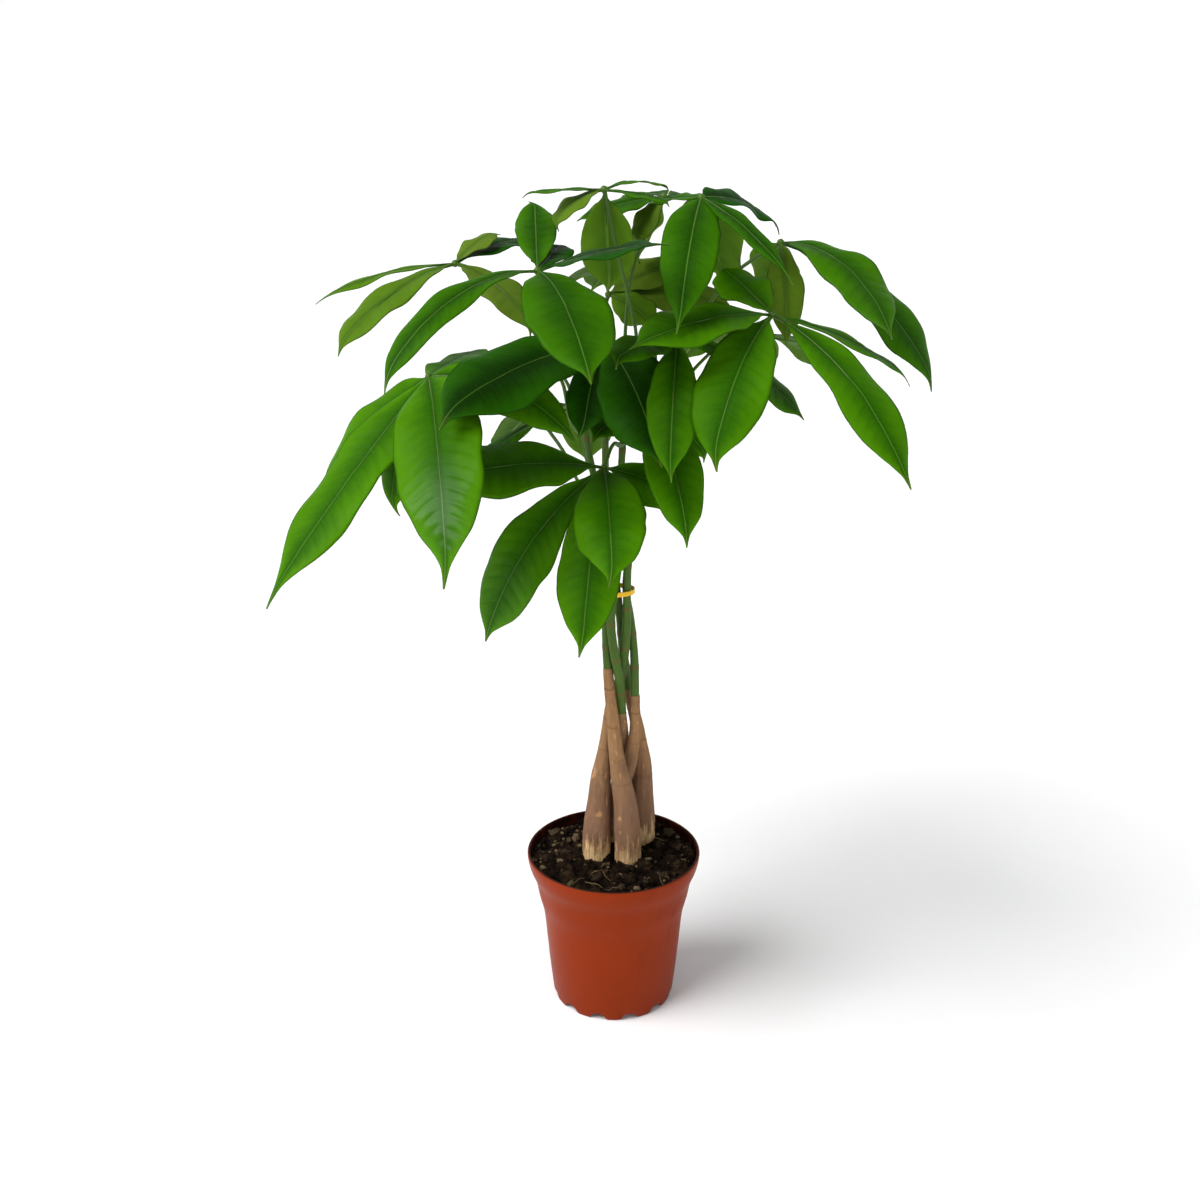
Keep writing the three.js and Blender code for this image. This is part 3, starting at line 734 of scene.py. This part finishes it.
def rod(points, radii, sides=8):
    """A round rod through points, drawn as a smooth curve and made a mesh."""
    piece = add(bpy.ops.curve.primitive_bezier_curve_add)
    curve = piece.data
    curve.dimensions = "3D"
    spline = curve.splines[0]
    spline.bezier_points.add(len(points) - len(spline.bezier_points))
    for knot, point, radius in zip(spline.bezier_points, points, radii):
        knot.co = point
        knot.radius = radius
        knot.handle_left_type = "AUTO"
        knot.handle_right_type = "AUTO"
    curve.resolution_u = CURVE_STEPS
    curve.bevel_depth = 1
    curve.bevel_resolution = sides // 4 - 1
    curve.use_fill_caps = True
    bpy.ops.object.convert(target="MESH")
    face_outwards(piece)
    return piece


def stamp(piece, name, rule):
    """Writes a colour attribute: rule gives (red, green, blue) at a point of the mesh."""
    layer = piece.data.color_attributes.new(name, "FLOAT_COLOR", "POINT")
    for vertex, entry in zip(piece.data.vertices, layer.data):
        entry.color = (*rule(vertex.co), 1)


def step(value, low, high):
    """0 below low, 1 above high, with a smooth step between."""
    share = min(1, max(0, (value - low) / (high - low)))
    return share * share * (3 - 2 * share)


def spline_value(stations, at):
    """Smooth values between stations, each a tuple whose first entry is the place."""
    places = [station[0] for station in stations]
    last = len(stations) - 2
    index = next((i for i in range(last) if at < places[i + 1]), last)
    before, start = stations[max(0, index - 1)], stations[index]
    end, after = stations[index + 1], stations[min(last + 1, index + 2)]
    span = end[0] - start[0]
    share = (at - start[0]) / span
    values = []
    for a, b, c, d in zip(before[1:], start[1:], end[1:], after[1:]):
        slope_in = (c - a) / (end[0] - before[0]) * span
        slope_out = (d - b) / (after[0] - start[0]) * span
        cubic = (
            (2 * share ** 3 - 3 * share ** 2 + 1) * b + (share ** 3 - 2 * share ** 2 + share) * slope_in
            + (3 * share ** 2 - 2 * share ** 3) * c + (share ** 3 - share ** 2) * slope_out
        )
        values.append(cubic)
    return values


# ---------- pot ----------

def pot_rings():
    """The pot's whole section as rings of radius and height: under the floor, up outside, down inside."""
    wall = POT_WALL / MM
    floor_low = FLOOR_HEIGHT / MM
    floor_top = floor_low + FLOOR_THICKNESS / MM
    floor_radius = FLOOR_EDGE - wall
    inside = [(radius - wall, height) for radius, height in reversed(POT_OUTSIDE[3:-1])]
    return [
        *[(radius, floor_low) for radius in FLOOR_RINGS],
        (floor_radius - 1, floor_low), (floor_radius, floor_low - 0.4), (42.2 - wall, 3), (42.0 - wall, 0),
        *POT_OUTSIDE, *POT_LIP, *inside,
        (43.6 - wall, 16), (floor_radius + 0.2, floor_top + 0.8), (floor_radius - 1, floor_top),
        *[(radius, floor_top) for radius in reversed(FLOOR_RINGS)],
    ]


def make_pot(material):
    rings = [(UP * (height * MM), radius * MM) for radius, height in pot_rings()]
    centre, radius = rings[0]
    pot = add(bpy.ops.mesh.primitive_circle_add, vertices=4 * LOBES, radius=radius, location=centre)
    edit_all()
    extrude(bpy.ops.mesh.extrude_edges_move, rings)
    leave_edit_mode()
    close_centre(pot)
    subdivide_smoothly(pot, 2)
    for vertex in pot.data.vertices:
        vertex.co.z = max(vertex.co.z, foot_edge(vertex.co))
    cut_drains(pot)
    stamp(pot, "wall", pot_wall_side)
    hand_over(pot, "pot_shell", [material], "pot", "pot")


def close_centre(pot):
    """Fills the small open rings at the middle of the floor, above and below."""
    active(pot)
    bpy.ops.object.mode_set(mode="EDIT")
    bpy.ops.mesh.select_all(action="DESELECT")
    bpy.ops.mesh.select_mode(type="EDGE")
    bpy.ops.mesh.select_non_manifold()
    bpy.ops.mesh.edge_face_add()
    bpy.ops.object.mode_set(mode="OBJECT")
    face_outwards(pot)


def foot_edge(point):
    """Height of the pot's lower edge at a point: round arches between the lobes of the foot."""
    if math.hypot(point.x, point.y) < FOOT_RADIUS - FOOT_BAND:
        return 0
    turn = 2 * math.pi / LOBES
    angle = math.atan2(point.y, point.x) % turn
    aside = abs(angle - turn / 2) * FOOT_RADIUS
    return ARCH_HEIGHT * (1 - step(aside, ARCH_TOP, ARCH_FOOT))


def cut_drains(pot):
    drains = []
    for drain in range(DRAINS):
        angle = 2 * math.pi * drain / DRAINS
        place = (DRAIN_CIRCLE * math.cos(angle), DRAIN_CIRCLE * math.sin(angle), FLOOR_HEIGHT)
        drains.append(add(
            bpy.ops.mesh.primitive_cylinder_add,
            vertices=DRAIN_SIDES, radius=DRAIN_RADIUS, depth=DRAIN_CUT, location=place,
        ))
    cutter = join(drains)
    apply_modifier(pot, "BOOLEAN", object=cutter, operation="DIFFERENCE", solver="EXACT")
    bpy.data.objects.remove(cutter)


def pot_wall_side(point):
    """Red is 1 on the inside of the wall and on top of the floor, green along the top of the lip."""
    height = point.z / MM
    if height < FLOOR_HEIGHT / MM + 0.5:
        return 0, 0, 0
    lip_start = POT_LEVELS[-1][0]
    outer = spline_value(POT_LEVELS, min(height, lip_start))[0]
    depth = outer - math.hypot(point.x, point.y) / MM
    return step(depth, 0.5, 1.1), step(height, lip_start, lip_start + 0.6), 0


# ---------- soil ----------

def soil_relief(x, y):
    """Relief of the soil in millimetres: rounded lumps of two sizes with deep gaps between, and grains."""
    spot = Vector((x, y, 0)) / MM
    relief = sum(height * noise.noise(spot / grain) for grain, height in SOIL_GRAINS)
    for lump, height in SOIL_LUMPS:
        distances, centres = noise.voronoi(spot / lump + UP * lump)
        dome = math.sqrt(max(0, 1 - (distances[0] / LUMP_REACH) ** 2))
        relief += height * (dome * (1 + 1.1 * noise.noise(centres[0] * 3.7)) - 0.7)
    return relief


def soil_height(x, y):
    """Height of the soil: a mound round the trunks, and the relief on it."""
    from_mound = (Vector((x, y, 0)) - MOUND_CENTRE).length / MOUND_SPREAD
    mound = SOIL_MOUND * math.exp(-from_mound ** 2)
    return SOIL_EDGE + 0.6 * MM + mound + soil_relief(x, y) * MM


def soil_radius(height):
    """How far the soil reaches at a height: just short of the pot's inner wall."""
    outer = spline_value(POT_LEVELS, height / MM)[0] * MM
    return outer - POT_WALL - SOIL_SLACK


SOIL_SPOKES = 320
SOIL_RINGS = 84
SOIL_GAP = 0.3 * MM              # between the soil and the pot's floor
SOIL_SLACK = 0.5 * MM            # between the soil and the pot's wall
SOIL_SIDE_HEIGHTS = [height * MM for height in (40, 64, 71, 78.5, 91.5, 96, 100)]
SOIL_LUMPS = [(9.5, 4.2), (4.0, 1.9)]      # size and height in millimetres
SOIL_GRAINS = [(2.1, 0.9), (0.9, 0.5)]     # the same
LUMP_REACH = 0.85                # how far a lump's dome reaches, as a share of its size
SINK = 0.1                       # how far a crumb's middle is above the soil, as a share of its size
CRUMBS = 480
CRUMB_SIZES = [0.7, 0.9, 1.1, 1.4, 2.0]    # millimetres
CRUMB_DRYNESS = [0, 0, 0, 0.1, 0.3, 1.0]
FIBRES = 22
FIBRE_POINTS = 4
FIBRE_TAPER = [1, 1.2, 1, 0.5]

# The lumps that lie on top: x, y and radius in millimetres, and how dry and pale they are.
TOP_LUMPS = [
    (-26, 20, 3.8, 0.75), (-43, 30, 3.4, 0.45), (-29, -40, 3.0, 0.6), (5, -42, 3.4, 0.3),
    (39, 31, 3.8, 0.25), (31, 11, 3.3, 0.15), (47, 12, 3.0, 0.3), (-46, -8, 3.2, 0.1),
    (21, -45, 2.8, 0.35), (-12, -33, 3.6, 0.1), (34, -30, 3.2, 0.2), (-36, 4, 3.6, 0.2),
    (44, -14, 3.0, 0.1), (-14, 42, 3.4, 0.3), (12, 50, 3.2, 0.2),
]


def make_soil(material):
    top_radius = soil_radius(SOIL_EDGE - 4 * MM)
    bottom = FLOOR_HEIGHT + FLOOR_THICKNESS + SOIL_GAP
    rings = [(UP * height, soil_radius(height)) for height in (bottom, *SOIL_SIDE_HEIGHTS)]
    rings.append((UP * (SOIL_EDGE - 3 * MM), top_radius))
    soil = add(
        bpy.ops.mesh.primitive_circle_add, vertices=SOIL_SPOKES, radius=soil_radius(bottom),
        fill_type="NGON", location=UP * bottom,
    )
    edit_all()
    extrude(bpy.ops.mesh.extrude_region_move, rings)
    for _ in range(1, SOIL_RINGS):
        bpy.ops.mesh.inset(thickness=top_radius / SOIL_RINGS, depth=0)
    leave_edit_mode()
    for vertex in soil.data.vertices:
        if vertex.co.z > SOIL_SIDE_HEIGHTS[-1] + 1 * MM:
            vertex.co.z = soil_height(vertex.co.x, vertex.co.y)
    face_outwards(soil)
    # Green marks the low gaps between the lumps, where painted shade goes.
    stamp(soil, "crumb", lambda point: (0, 1 - step(soil_relief(point.x, point.y), -2.2, 1.3), 0))
    hand_over(soil, "soil_bed", [material], "soil", "soil")


def scatter_crumbs(material):
    """Lumps and loose crumbs on top of the soil."""
    chance = random.Random(7)
    crumbs = []
    for x, y, radius, dry in TOP_LUMPS:
        x, y, size = x * MM, y * MM, radius * MM
        crumbs.append(crumb(Vector((x, y, soil_height(x, y) + size * SINK)), size, dry, chance))
    for _ in range(CRUMBS):
        reach = (soil_radius(SOIL_EDGE) - 2 * MM) * math.sqrt(chance.random())
        angle = chance.uniform(0, 2 * math.pi)
        x, y = reach * math.cos(angle), reach * math.sin(angle)
        size = chance.choice(CRUMB_SIZES) * MM
        dry = chance.choice(CRUMB_DRYNESS)
        if inside_trunk(x, y, size):
            continue
        crumbs.append(crumb(Vector((x, y, soil_height(x, y) + size * SINK)), size, dry, chance))
    hand_over(join(crumbs), "soil_crumbs", [material], "soil")


def inside_trunk(x, y, margin):
    for plant in PLANTS.values():
        _, centre_x, centre_y, radius = plant["stations"][1]
        if math.hypot(x / MM - centre_x, y / MM - centre_y) < radius + margin / MM:
            return True
    return False


def crumb(place, size, dry, chance):
    """One knobbly crumb of soil: rougher and finer split the larger it is."""
    subdivisions = 4 if size > 2.5 * MM else 2
    piece = add(bpy.ops.mesh.primitive_ico_sphere_add, subdivisions=subdivisions, radius=size)
    shift = Vector((chance.random(), chance.random(), chance.random())) * 40
    squash = Vector((chance.uniform(0.7, 1.2), chance.uniform(0.7, 1.2), chance.uniform(0.5, 0.9)))
    for vertex in piece.data.vertices:
        bulge = 1 + 0.6 * noise.noise(vertex.co * (1.2 / size) + shift)
        bulge += 0.3 * noise.noise(vertex.co * (3.6 / size) + shift)
        vertex.co = vertex.co * bulge * squash + place
    stamp(piece, "crumb", lambda point: (dry, 0, 0))
    return piece


def scatter_fibres(material):
    """Pale root fibres and slivers that lie on the soil."""
    chance = random.Random(21)
    fibres = []
    for _ in range(FIBRES):
        reach = (soil_radius(SOIL_EDGE) - 5 * MM) * math.sqrt(chance.random())
        angle = chance.uniform(0, 2 * math.pi)
        start = Vector((reach * math.cos(angle), reach * math.sin(angle), 0))
        heading = chance.uniform(0, 2 * math.pi)
        length = chance.uniform(4, 13) * MM
        points = []
        for index in range(FIBRE_POINTS):
            along = length * index / (FIBRE_POINTS - 1)
            spot = start + Vector((math.cos(heading), math.sin(heading), 0)) * along
            if math.hypot(spot.x, spot.y) > soil_radius(SOIL_EDGE) - 2 * MM:
                break
            lift = chance.uniform(0.4, 2.2) * MM
            points.append(Vector((spot.x, spot.y, soil_height(spot.x, spot.y) + lift)))
            heading += chance.uniform(-0.3, 0.3)
        if len(points) < 3:
            continue
        thick = chance.uniform(0.12, 0.26) * MM
        fibres.append(rod(points, [thick * share for share in FIBRE_TAPER][:len(points)]))
    hand_over(join(fibres), "soil_fibres", [material], "soil")


# ---------- trunks and stems ----------

TORN_FROM = 104                  # millimetres, the height where the pale torn wood ends at the least
TORN_REACH = 16                  # millimetres that it reaches above that on average
CORE = 0.2                       # share of the radius within which the ends stay flat
TRUNK_SIDES = 24
TRUNK_PITCH = 4 * MM             # between a trunk's rings
STEM_SIDES = 12
STEM_PITCH = 5 * MM
STEM_ROOT = 3 * MM               # how far a stem reaches down into its trunk
ROOT_SHARE = 0.9                 # how thick it is there, as a share of its radius
END_RING = 0.4 * MM              # from a column's end to the ring that keeps it crisp


def plant_place(plant, height):
    """Centre and radius of a plant at a height."""
    x, y, radius = spline_value(plant["stations"], height / MM)
    return Vector((x * MM, y * MM, height)), radius * MM


def bark_detail(plant, centre, out):
    """How a trunk's skin differs from the smooth form: relief in millimetres, torn, scarred, chipped."""
    height = centre.z / MM
    key = Vector((out.x, out.y, 0)) * 2.2 + Vector((centre.x, centre.y, 0)) * 60
    ragged = 1.3 * noise.noise(key * 1.6 + UP * (height / 30)) + 0.6 * noise.noise(key * 5)
    foot = TORN_FROM + TORN_REACH * (1 + 0.7 * ragged)
    torn = 1 - step(height, foot - 0.7, foot + 0.7)
    cracks = noise.noise(key * 4 + UP * (height / 16))
    furrows = noise.noise(key * 11 + UP * (height / 9))
    bulges = noise.noise(key + UP * (height / 22))
    chipped = noise.noise(key * 1.1 + UP * (height / 6) + Vector((5, 2, 8)))
    chip = step(chipped, 0.5, 0.55)
    fringe = 1 - step(abs(height - foot - 1.5), 0.5, 3)
    chip = max(chip, fringe * step(furrows, -0.1, 0.3))
    relief = 0.35 * bulges + 0.16 * cracks + 0.12 * furrows - 0.3 * chip
    relief += torn * (0.5 * noise.noise(key * 14 + UP * (height / 10)) - 0.7)
    scar = 0
    for ring in plant["rings"]:
        away = abs(height - ring - 0.7 * noise.noise(key * 1.5))
        strength = 0.45 + 0.55 * step(ring, 190, 215)
        scar = max(scar, strength * (1 - step(away, 0.2, 1.1)))
    relief += 0.22 * scar
    return relief, torn, scar * (1 - torn), chip * (1 - torn)


def stem_detail(plant, centre, out):
    """A stem's slight swellings at the old leaf scars."""
    height = centre.z / MM
    key = Vector((out.x, out.y, 0)) * 1.5 + Vector((centre.x, centre.y, 0)) * 60
    relief = 0.1 * noise.noise(key + UP * (height / 14)) + 0.05 * noise.noise(key * 5 + UP * (height / 20))
    swell = scar = 0
    for ring in plant["rings"]:
        away = abs(height - ring)
        swell = max(swell, 1 - step(away, 0.3, 3.2))
        scar = max(scar, 1 - step(away, 0.3, 1.7))
    return relief + 0.3 * swell - 0.12 * scar, 0, scar, 0


def detail(piece, plant, rule):
    """Moves the skin of a trunk or stem out or in by its rule, and writes the rule's marks on it."""
    layer = piece.data.color_attributes.new("skin", "FLOAT_COLOR", "POINT")
    for vertex, entry in zip(piece.data.vertices, layer.data):
        centre, radius = plant_place(plant, vertex.co.z)
        out = Vector((vertex.co.x - centre.x, vertex.co.y - centre.y, 0))
        if out.length < CORE * radius:
            entry.color = (0, 0, 0, 1)
            continue
        out.normalize()
        relief, *marks = rule(plant, centre, out)
        vertex.co += out * (relief * MM)
        entry.color = (*marks, 1)


def column(plant, levels, sides):
    """A closed column: a filled circle extruded upwards through a plant's places at some heights."""
    rings = [plant_place(plant, height) for height in levels]
    centre, radius = rings[0]
    piece = add(
        bpy.ops.mesh.primitive_circle_add, vertices=sides, radius=radius, fill_type="NGON", location=centre,
    )
    edit_all()
    extrude(bpy.ops.mesh.extrude_region_move, rings)
    leave_edit_mode()
    face_outwards(piece)
    return piece


def make_plant(name, plant, bark, green):
    bottom = plant["stations"][0][0] * MM
    top = plant["stations"][-1][0] * MM
    bark_top = plant["bark_top"] * MM
    trunk = column(plant, heights(bottom, bark_top, TRUNK_PITCH), TRUNK_SIDES)
    subdivide_smoothly(trunk, 2)
    detail(trunk, plant, bark_detail)
    hand_over(trunk, f"{name}_trunk_bark", [bark], "bark", f"trunk_{name}")

    stem = column(plant, heights(bark_top - STEM_ROOT, top, STEM_PITCH), STEM_SIDES)
    for vertex in stem.data.vertices:
        if vertex.co.z < bark_top:
            centre, _ = plant_place(plant, vertex.co.z)
            vertex.co = centre + (vertex.co - centre) * ROOT_SHARE
    subdivide_smoothly(stem, 2)
    detail(stem, plant, stem_detail)
    hand_over(stem, f"{name}_stem_green", [green], "stem", f"stem_{name}")


def heights(bottom, top, pitch):
    """Ring heights from bottom to top, with close pairs at both ends that keep the ends crisp."""
    count = round((top - bottom) / pitch)
    inner = [bottom + (top - bottom) * index / count for index in range(1, count)]
    return [bottom, bottom + END_RING, *inner, top - END_RING, top]


# ---------- tie ----------

def make_tie(material):
    tie = add(bpy.ops.mesh.primitive_circle_add, vertices=TIE_SIDES, radius=1, location=(0, 0, 0))
    edit_all()
    bpy.ops.transform.resize(value=(TIE_HALF_WIDTH, TIE_HALF_DEPTH, 1))
    bpy.ops.transform.translate(value=TIE_CENTRE - UP * (TIE_BAND / 2))
    bpy.ops.mesh.extrude_edges_move(TRANSFORM_OT_translate={"value": UP * TIE_BAND})
    bpy.ops.object.mode_set(mode="OBJECT")
    face_outwards(tie)
    apply_modifier(tie, "SOLIDIFY", thickness=TIE_THICKNESS, offset=-1, use_even_offset=True)
    apply_modifier(tie, "BEVEL", width=TIE_BEVEL, segments=3, limit_method="ANGLE")
    hand_over(tie, "yellow_tie", [material], "tie", "tie")


# ---------- leaves ----------

# Stations along a leaflet: how far along it, and its width there as a share of the full width.
LEAFLET_OUTLINE = [
    (0, 0.05), (0.05, 0.06), (0.1, 0.14), (0.19, 0.44), (0.36, 0.82), (0.56, 1.0), (0.73, 0.9),
    (0.84, 0.61), (0.9, 0.32), (0.94, 0.13), (0.97, 0.06), (1.0, 0.02),
]
# The rib under a leaflet: how far along it, and its radius there in millimetres.
STALK = [(0, 1.0), (0.05, 0.95), (0.12, 0.8), (0.25, 0.62), (0.45, 0.48), (0.65, 0.36), (0.85, 0.2)]
ROOT = 1.1 * MM                  # how far from the middle of the hub a leaflet's root starts
FOLD = 11                        # degrees that each half of a blade lifts from its rib near the hub
RECURVE = 16                     # degrees that the fold has opened again at the tip
WAVE = 0.045                     # height of the waves along a blade's edges, as a share of its width
BLADE = 0.45 * MM
VEIN_GAP = 8.5                   # millimetres between side veins
VEIN_LEAD = 0.085                # how far the side veins run forwards, as a share of the length
QUILT = 0.35                     # millimetres that the blade swells between its side veins
GLOSSY_QUILT = 0.45              # how much more the outer half of a glossy leaflet swells there
ROWS_PER_VEIN = 6                # faces along a blade from one side vein to the next
COLUMNS = 16                     # faces across a blade
GLOSS = 0.18                     # clear coat on the outer half of the glossy leaflets
WIDEST = 30 * MM                 # no leaflet's half width is more than this
GROOVE = 0.35                    # millimetres that the midrib lies below the blade
MIDRIB_DROP = 0.35 * MM          # how far the stalk's middle lies under the blade's
HALF_WAVES = 5                   # along a blade's edge
CAMBER = 0.1                     # how far the edges bend back down, as a share of the half width
UNEVEN = 0.07                    # how much the half width varies
BUCKLE = 0.9 * MM                # how far a blade buckles at the most
LEAST_HALF_WIDTH = 0.3 * MM
LEAST_DROOP = 0.5                # degrees
OUT_OF_STEP = 0.35               # side veins of one half against the other's, as a share of their gap
TIP_FROM = 0.84                  # how far along a leaflet its tip starts to hook and hang
HOOK = 4 * MM                    # how far a tip turns aside at the most
HANG = (1.0, 5.0)                # millimetres that a tip hangs
TONE_SPREAD = 0.1
# The tone of the pale leaflets, which are painted with the glow of light shining through them.
BACKLIT_TONE = 0.97
DARK_TONE = 0.05


def direction(heading, rise):
    """A direction from its heading (0 is +X, -90 is towards the viewer) and rise, in degrees."""
    level = math.cos(math.radians(rise))
    return Vector((
        level * math.cos(math.radians(heading)),
        level * math.sin(math.radians(heading)),
        math.sin(math.radians(rise)),
    ))


class Leaflet:
    """One leaflet: an even arc that leaves the hub, the blade on it and the rib under it."""

    def __init__(self, leaf, index, chance):
        heading, tilt = leaf["face"]
        self.hub = Vector(leaf["hub"]) * MM
        self.face = direction(heading, 90 - tilt)
        self.heading, self.rise, self.droop, length, width = leaf["leaflets"][index]
        self.length = length * MM
        self.width = width * MM
        self.index = index
        self.shoulder = leaf.get("shoulder", 1)
        glossy = index in leaf.get("glossy", [])
        self.gloss = GLOSS if glossy else 0
        self.more_quilt = GLOSSY_QUILT if glossy else 0
        self.veins = round(length / VEIN_GAP)
        self.ripple = chance.uniform(0, 10)
        self.hook = chance.uniform(-HOOK, HOOK)
        self.hang = chance.uniform(*HANG) * MM
        self.tone = min(1, max(0, leaf["tone"] + chance.uniform(-TONE_SPREAD, TONE_SPREAD)))
        if index in leaf.get("pale", []):
            self.tone = BACKLIT_TONE
        if index in leaf.get("dark", []):
            self.tone = DARK_TONE

    def rib(self, along):
        """A place on the arc."""
        start = math.radians(self.rise)
        bend = math.radians(self.droop or LEAST_DROOP)
        turned = start - bend * along
        out = self.length * (math.sin(start) - math.sin(turned)) / bend
        up = self.length * (math.cos(turned) - math.cos(start)) / bend
        return self.hub + direction(self.heading, 0) * out + UP * up

    def axes(self, along):
        """The rib's direction, the blade's normal and the way across it."""
        tangent = direction(self.heading, self.rise - self.droop * along)
        normal = (self.face - tangent * self.face.dot(tangent)).normalized()
        return tangent, normal, normal.cross(tangent)

    def half_width(self, along):
        share = spline_value(LEAFLET_OUTLINE, along ** self.shoulder)[0]
        return max(LEAST_HALF_WIDTH, share * self.width / 2)

    def point(self, row, across):
        """A point of the blade: row runs from the hub to the tip, across from -1 to 1."""
        side = abs(across)
        along = row + VEIN_LEAD * side ** 1.3 * 4 * row * (1 - row)
        along = max(along, ROOT / self.length)
        _, normal, sideways = self.axes(along)
        half = self.half_width(along)
        fold = math.tan(math.radians(FOLD - RECURVE * along))
        share = half / (self.width / 2)
        wave = WAVE * self.width * share * math.sin(math.pi * (HALF_WAVES * along + self.index))
        soft = math.sqrt(side * side + 0.004) - 0.063
        lift = fold * half * soft + wave * across * side - CAMBER * half * side ** 3
        lift += self.quilting(row, across) * MM * share
        uneven = 1 + UNEVEN * noise.noise(Vector((along * 9, self.ripple, 3 if across < 0 else 8)))
        spot = self.rib(along) + sideways * (across * half * uneven)
        lift += BUCKLE * share * noise.noise(spot * 55 + UP * self.ripple)
        spot += normal * lift
        end = max(0, (along - TIP_FROM) / (1 - TIP_FROM)) ** 2
        return spot + sideways * (self.hook * end) - normal * (self.hang * end)

    def quilting(self, row, across):
        """Relief in millimetres: swollen between the side veins and sunk along the midrib."""
        side = abs(across)
        swell = abs(math.sin(math.pi * self.phase(row, across))) ** 0.7 - 0.5
        envelope = step(side, 0.03, 0.25) * (1 - step(side, 0.75, 1.0))
        groove = math.exp(-(side / 0.05) ** 2)
        height = QUILT + self.more_quilt * step(row, 0.4, 0.7)
        return height * swell * envelope - GROOVE * groove

    def phase(self, row, across):
        """Counts the side veins from the hub: whole numbers lie on a vein."""
        return row * self.veins + (OUT_OF_STEP if across < 0 else 0)

    def blade(self):
        piece = add(
            bpy.ops.mesh.primitive_grid_add,
            x_subdivisions=ROWS_PER_VEIN * self.veins, y_subdivisions=COLUMNS, size=2,
        )
        mesh = piece.data
        places = [((vertex.co.x + 1) / 2, vertex.co.y) for vertex in mesh.vertices]
        marks = mesh.uv_layers[0]
        marks.name = "veins"
        for loop, mark in zip(mesh.loops, marks.data):
            row, across = places[loop.vertex_index]
            mark.uv = (self.phase(row, across), across / 2 + 0.5)
        blade = mesh.color_attributes.new("blade", "FLOAT_COLOR", "POINT")
        rib = mesh.color_attributes.new("rib", "FLOAT_COLOR", "POINT")
        for vertex, (row, across), entry, line in zip(mesh.vertices, places, blade.data, rib.data):
            vertex.co = self.point(row, across)
            entry.color = (row, abs(across), self.tone, 1)
            line.color = (self.half_width(row) / WIDEST, self.gloss * step(row, 0.45, 0.75), 0, 1)
        return piece

    def stalk(self):
        """The rib that stands out under the blade, thick at the hub."""
        points = []
        for along, _ in STALK:
            _, normal, _ = self.axes(along)
            points.append(self.rib(along) - normal * MIDRIB_DROP)
        return rod(points, [size * MM for _, size in STALK])


def petiole(leaf):
    """The leaf's stalk, from inside its stem to the hub."""
    centre, _ = plant_place(PLANTS[leaf["stem"]], leaf["from"] * MM)
    route = [Vector(point) * MM for point in [*leaf["via"], leaf["hub"]]]
    out = route[0] - centre
    out.z = 0
    out.normalize()
    points = [centre, centre + out * COLLAR_OUT + UP * COLLAR_UP, *route]
    radii = [PETIOLE_FOOT, PETIOLE_FOOT * 0.9, *[PETIOLE_TIP] * (len(route) - 1), PETIOLE_TIP * 1.25]
    return rod(points, radii, sides=12)


def make_leaf(name, leaf, upper, under, stalk_green):
    """One leaf as one piece: its blades with both their faces, their ribs, the hub and the petiole."""
    chance = random.Random(name)
    hub = Vector(leaf["hub"]) * MM
    blades = []
    stalks = [petiole(leaf)]
    for index in range(len(leaf["leaflets"])):
        leaflet = Leaflet(leaf, index, chance)
        blades.append(leaflet.blade())
        stalks.append(leaflet.stalk())
    stalks.append(add(
        bpy.ops.mesh.primitive_uv_sphere_add, segments=20, ring_count=12, radius=HUB_RADIUS, location=hub,
    ))

    crown = join(blades)
    for material in (upper, under, stalk_green):
        crown.data.materials.append(material)
    apply_modifier(
        crown, "SOLIDIFY", thickness=BLADE, offset=0, use_even_offset=True, material_offset=1,
        material_offset_rim=0,
    )
    stalk = join(stalks)
    stalk.data.materials.clear()
    stalk.data.materials.append(stalk_green)
    whole = join([crown, stalk])
    hand_over(whole, f"{name}_leaf", [], "leaf", f"leaf_{name}")


def main():
    add_camera()
    add_surroundings()
    make_pot(pot_plastic())
    soil = potting_soil()
    make_soil(soil)
    scatter_crumbs(soil)
    scatter_fibres(plain_finish("pale_fibre", srgb(112, 90, 60), 0.8))
    bark = old_bark()
    green = stem_green()
    for name, plant in PLANTS.items():
        make_plant(name, plant, bark, green)
    make_tie(plain_finish("yellow_plastic", srgb(214, 168, 28), 0.35))
    upper = leaf_upper()
    under = leaf_under()
    stalk_green = petiole_green()
    for name, leaf in LEAVES.items():
        make_leaf(name, leaf, upper, under, stalk_green)


main()
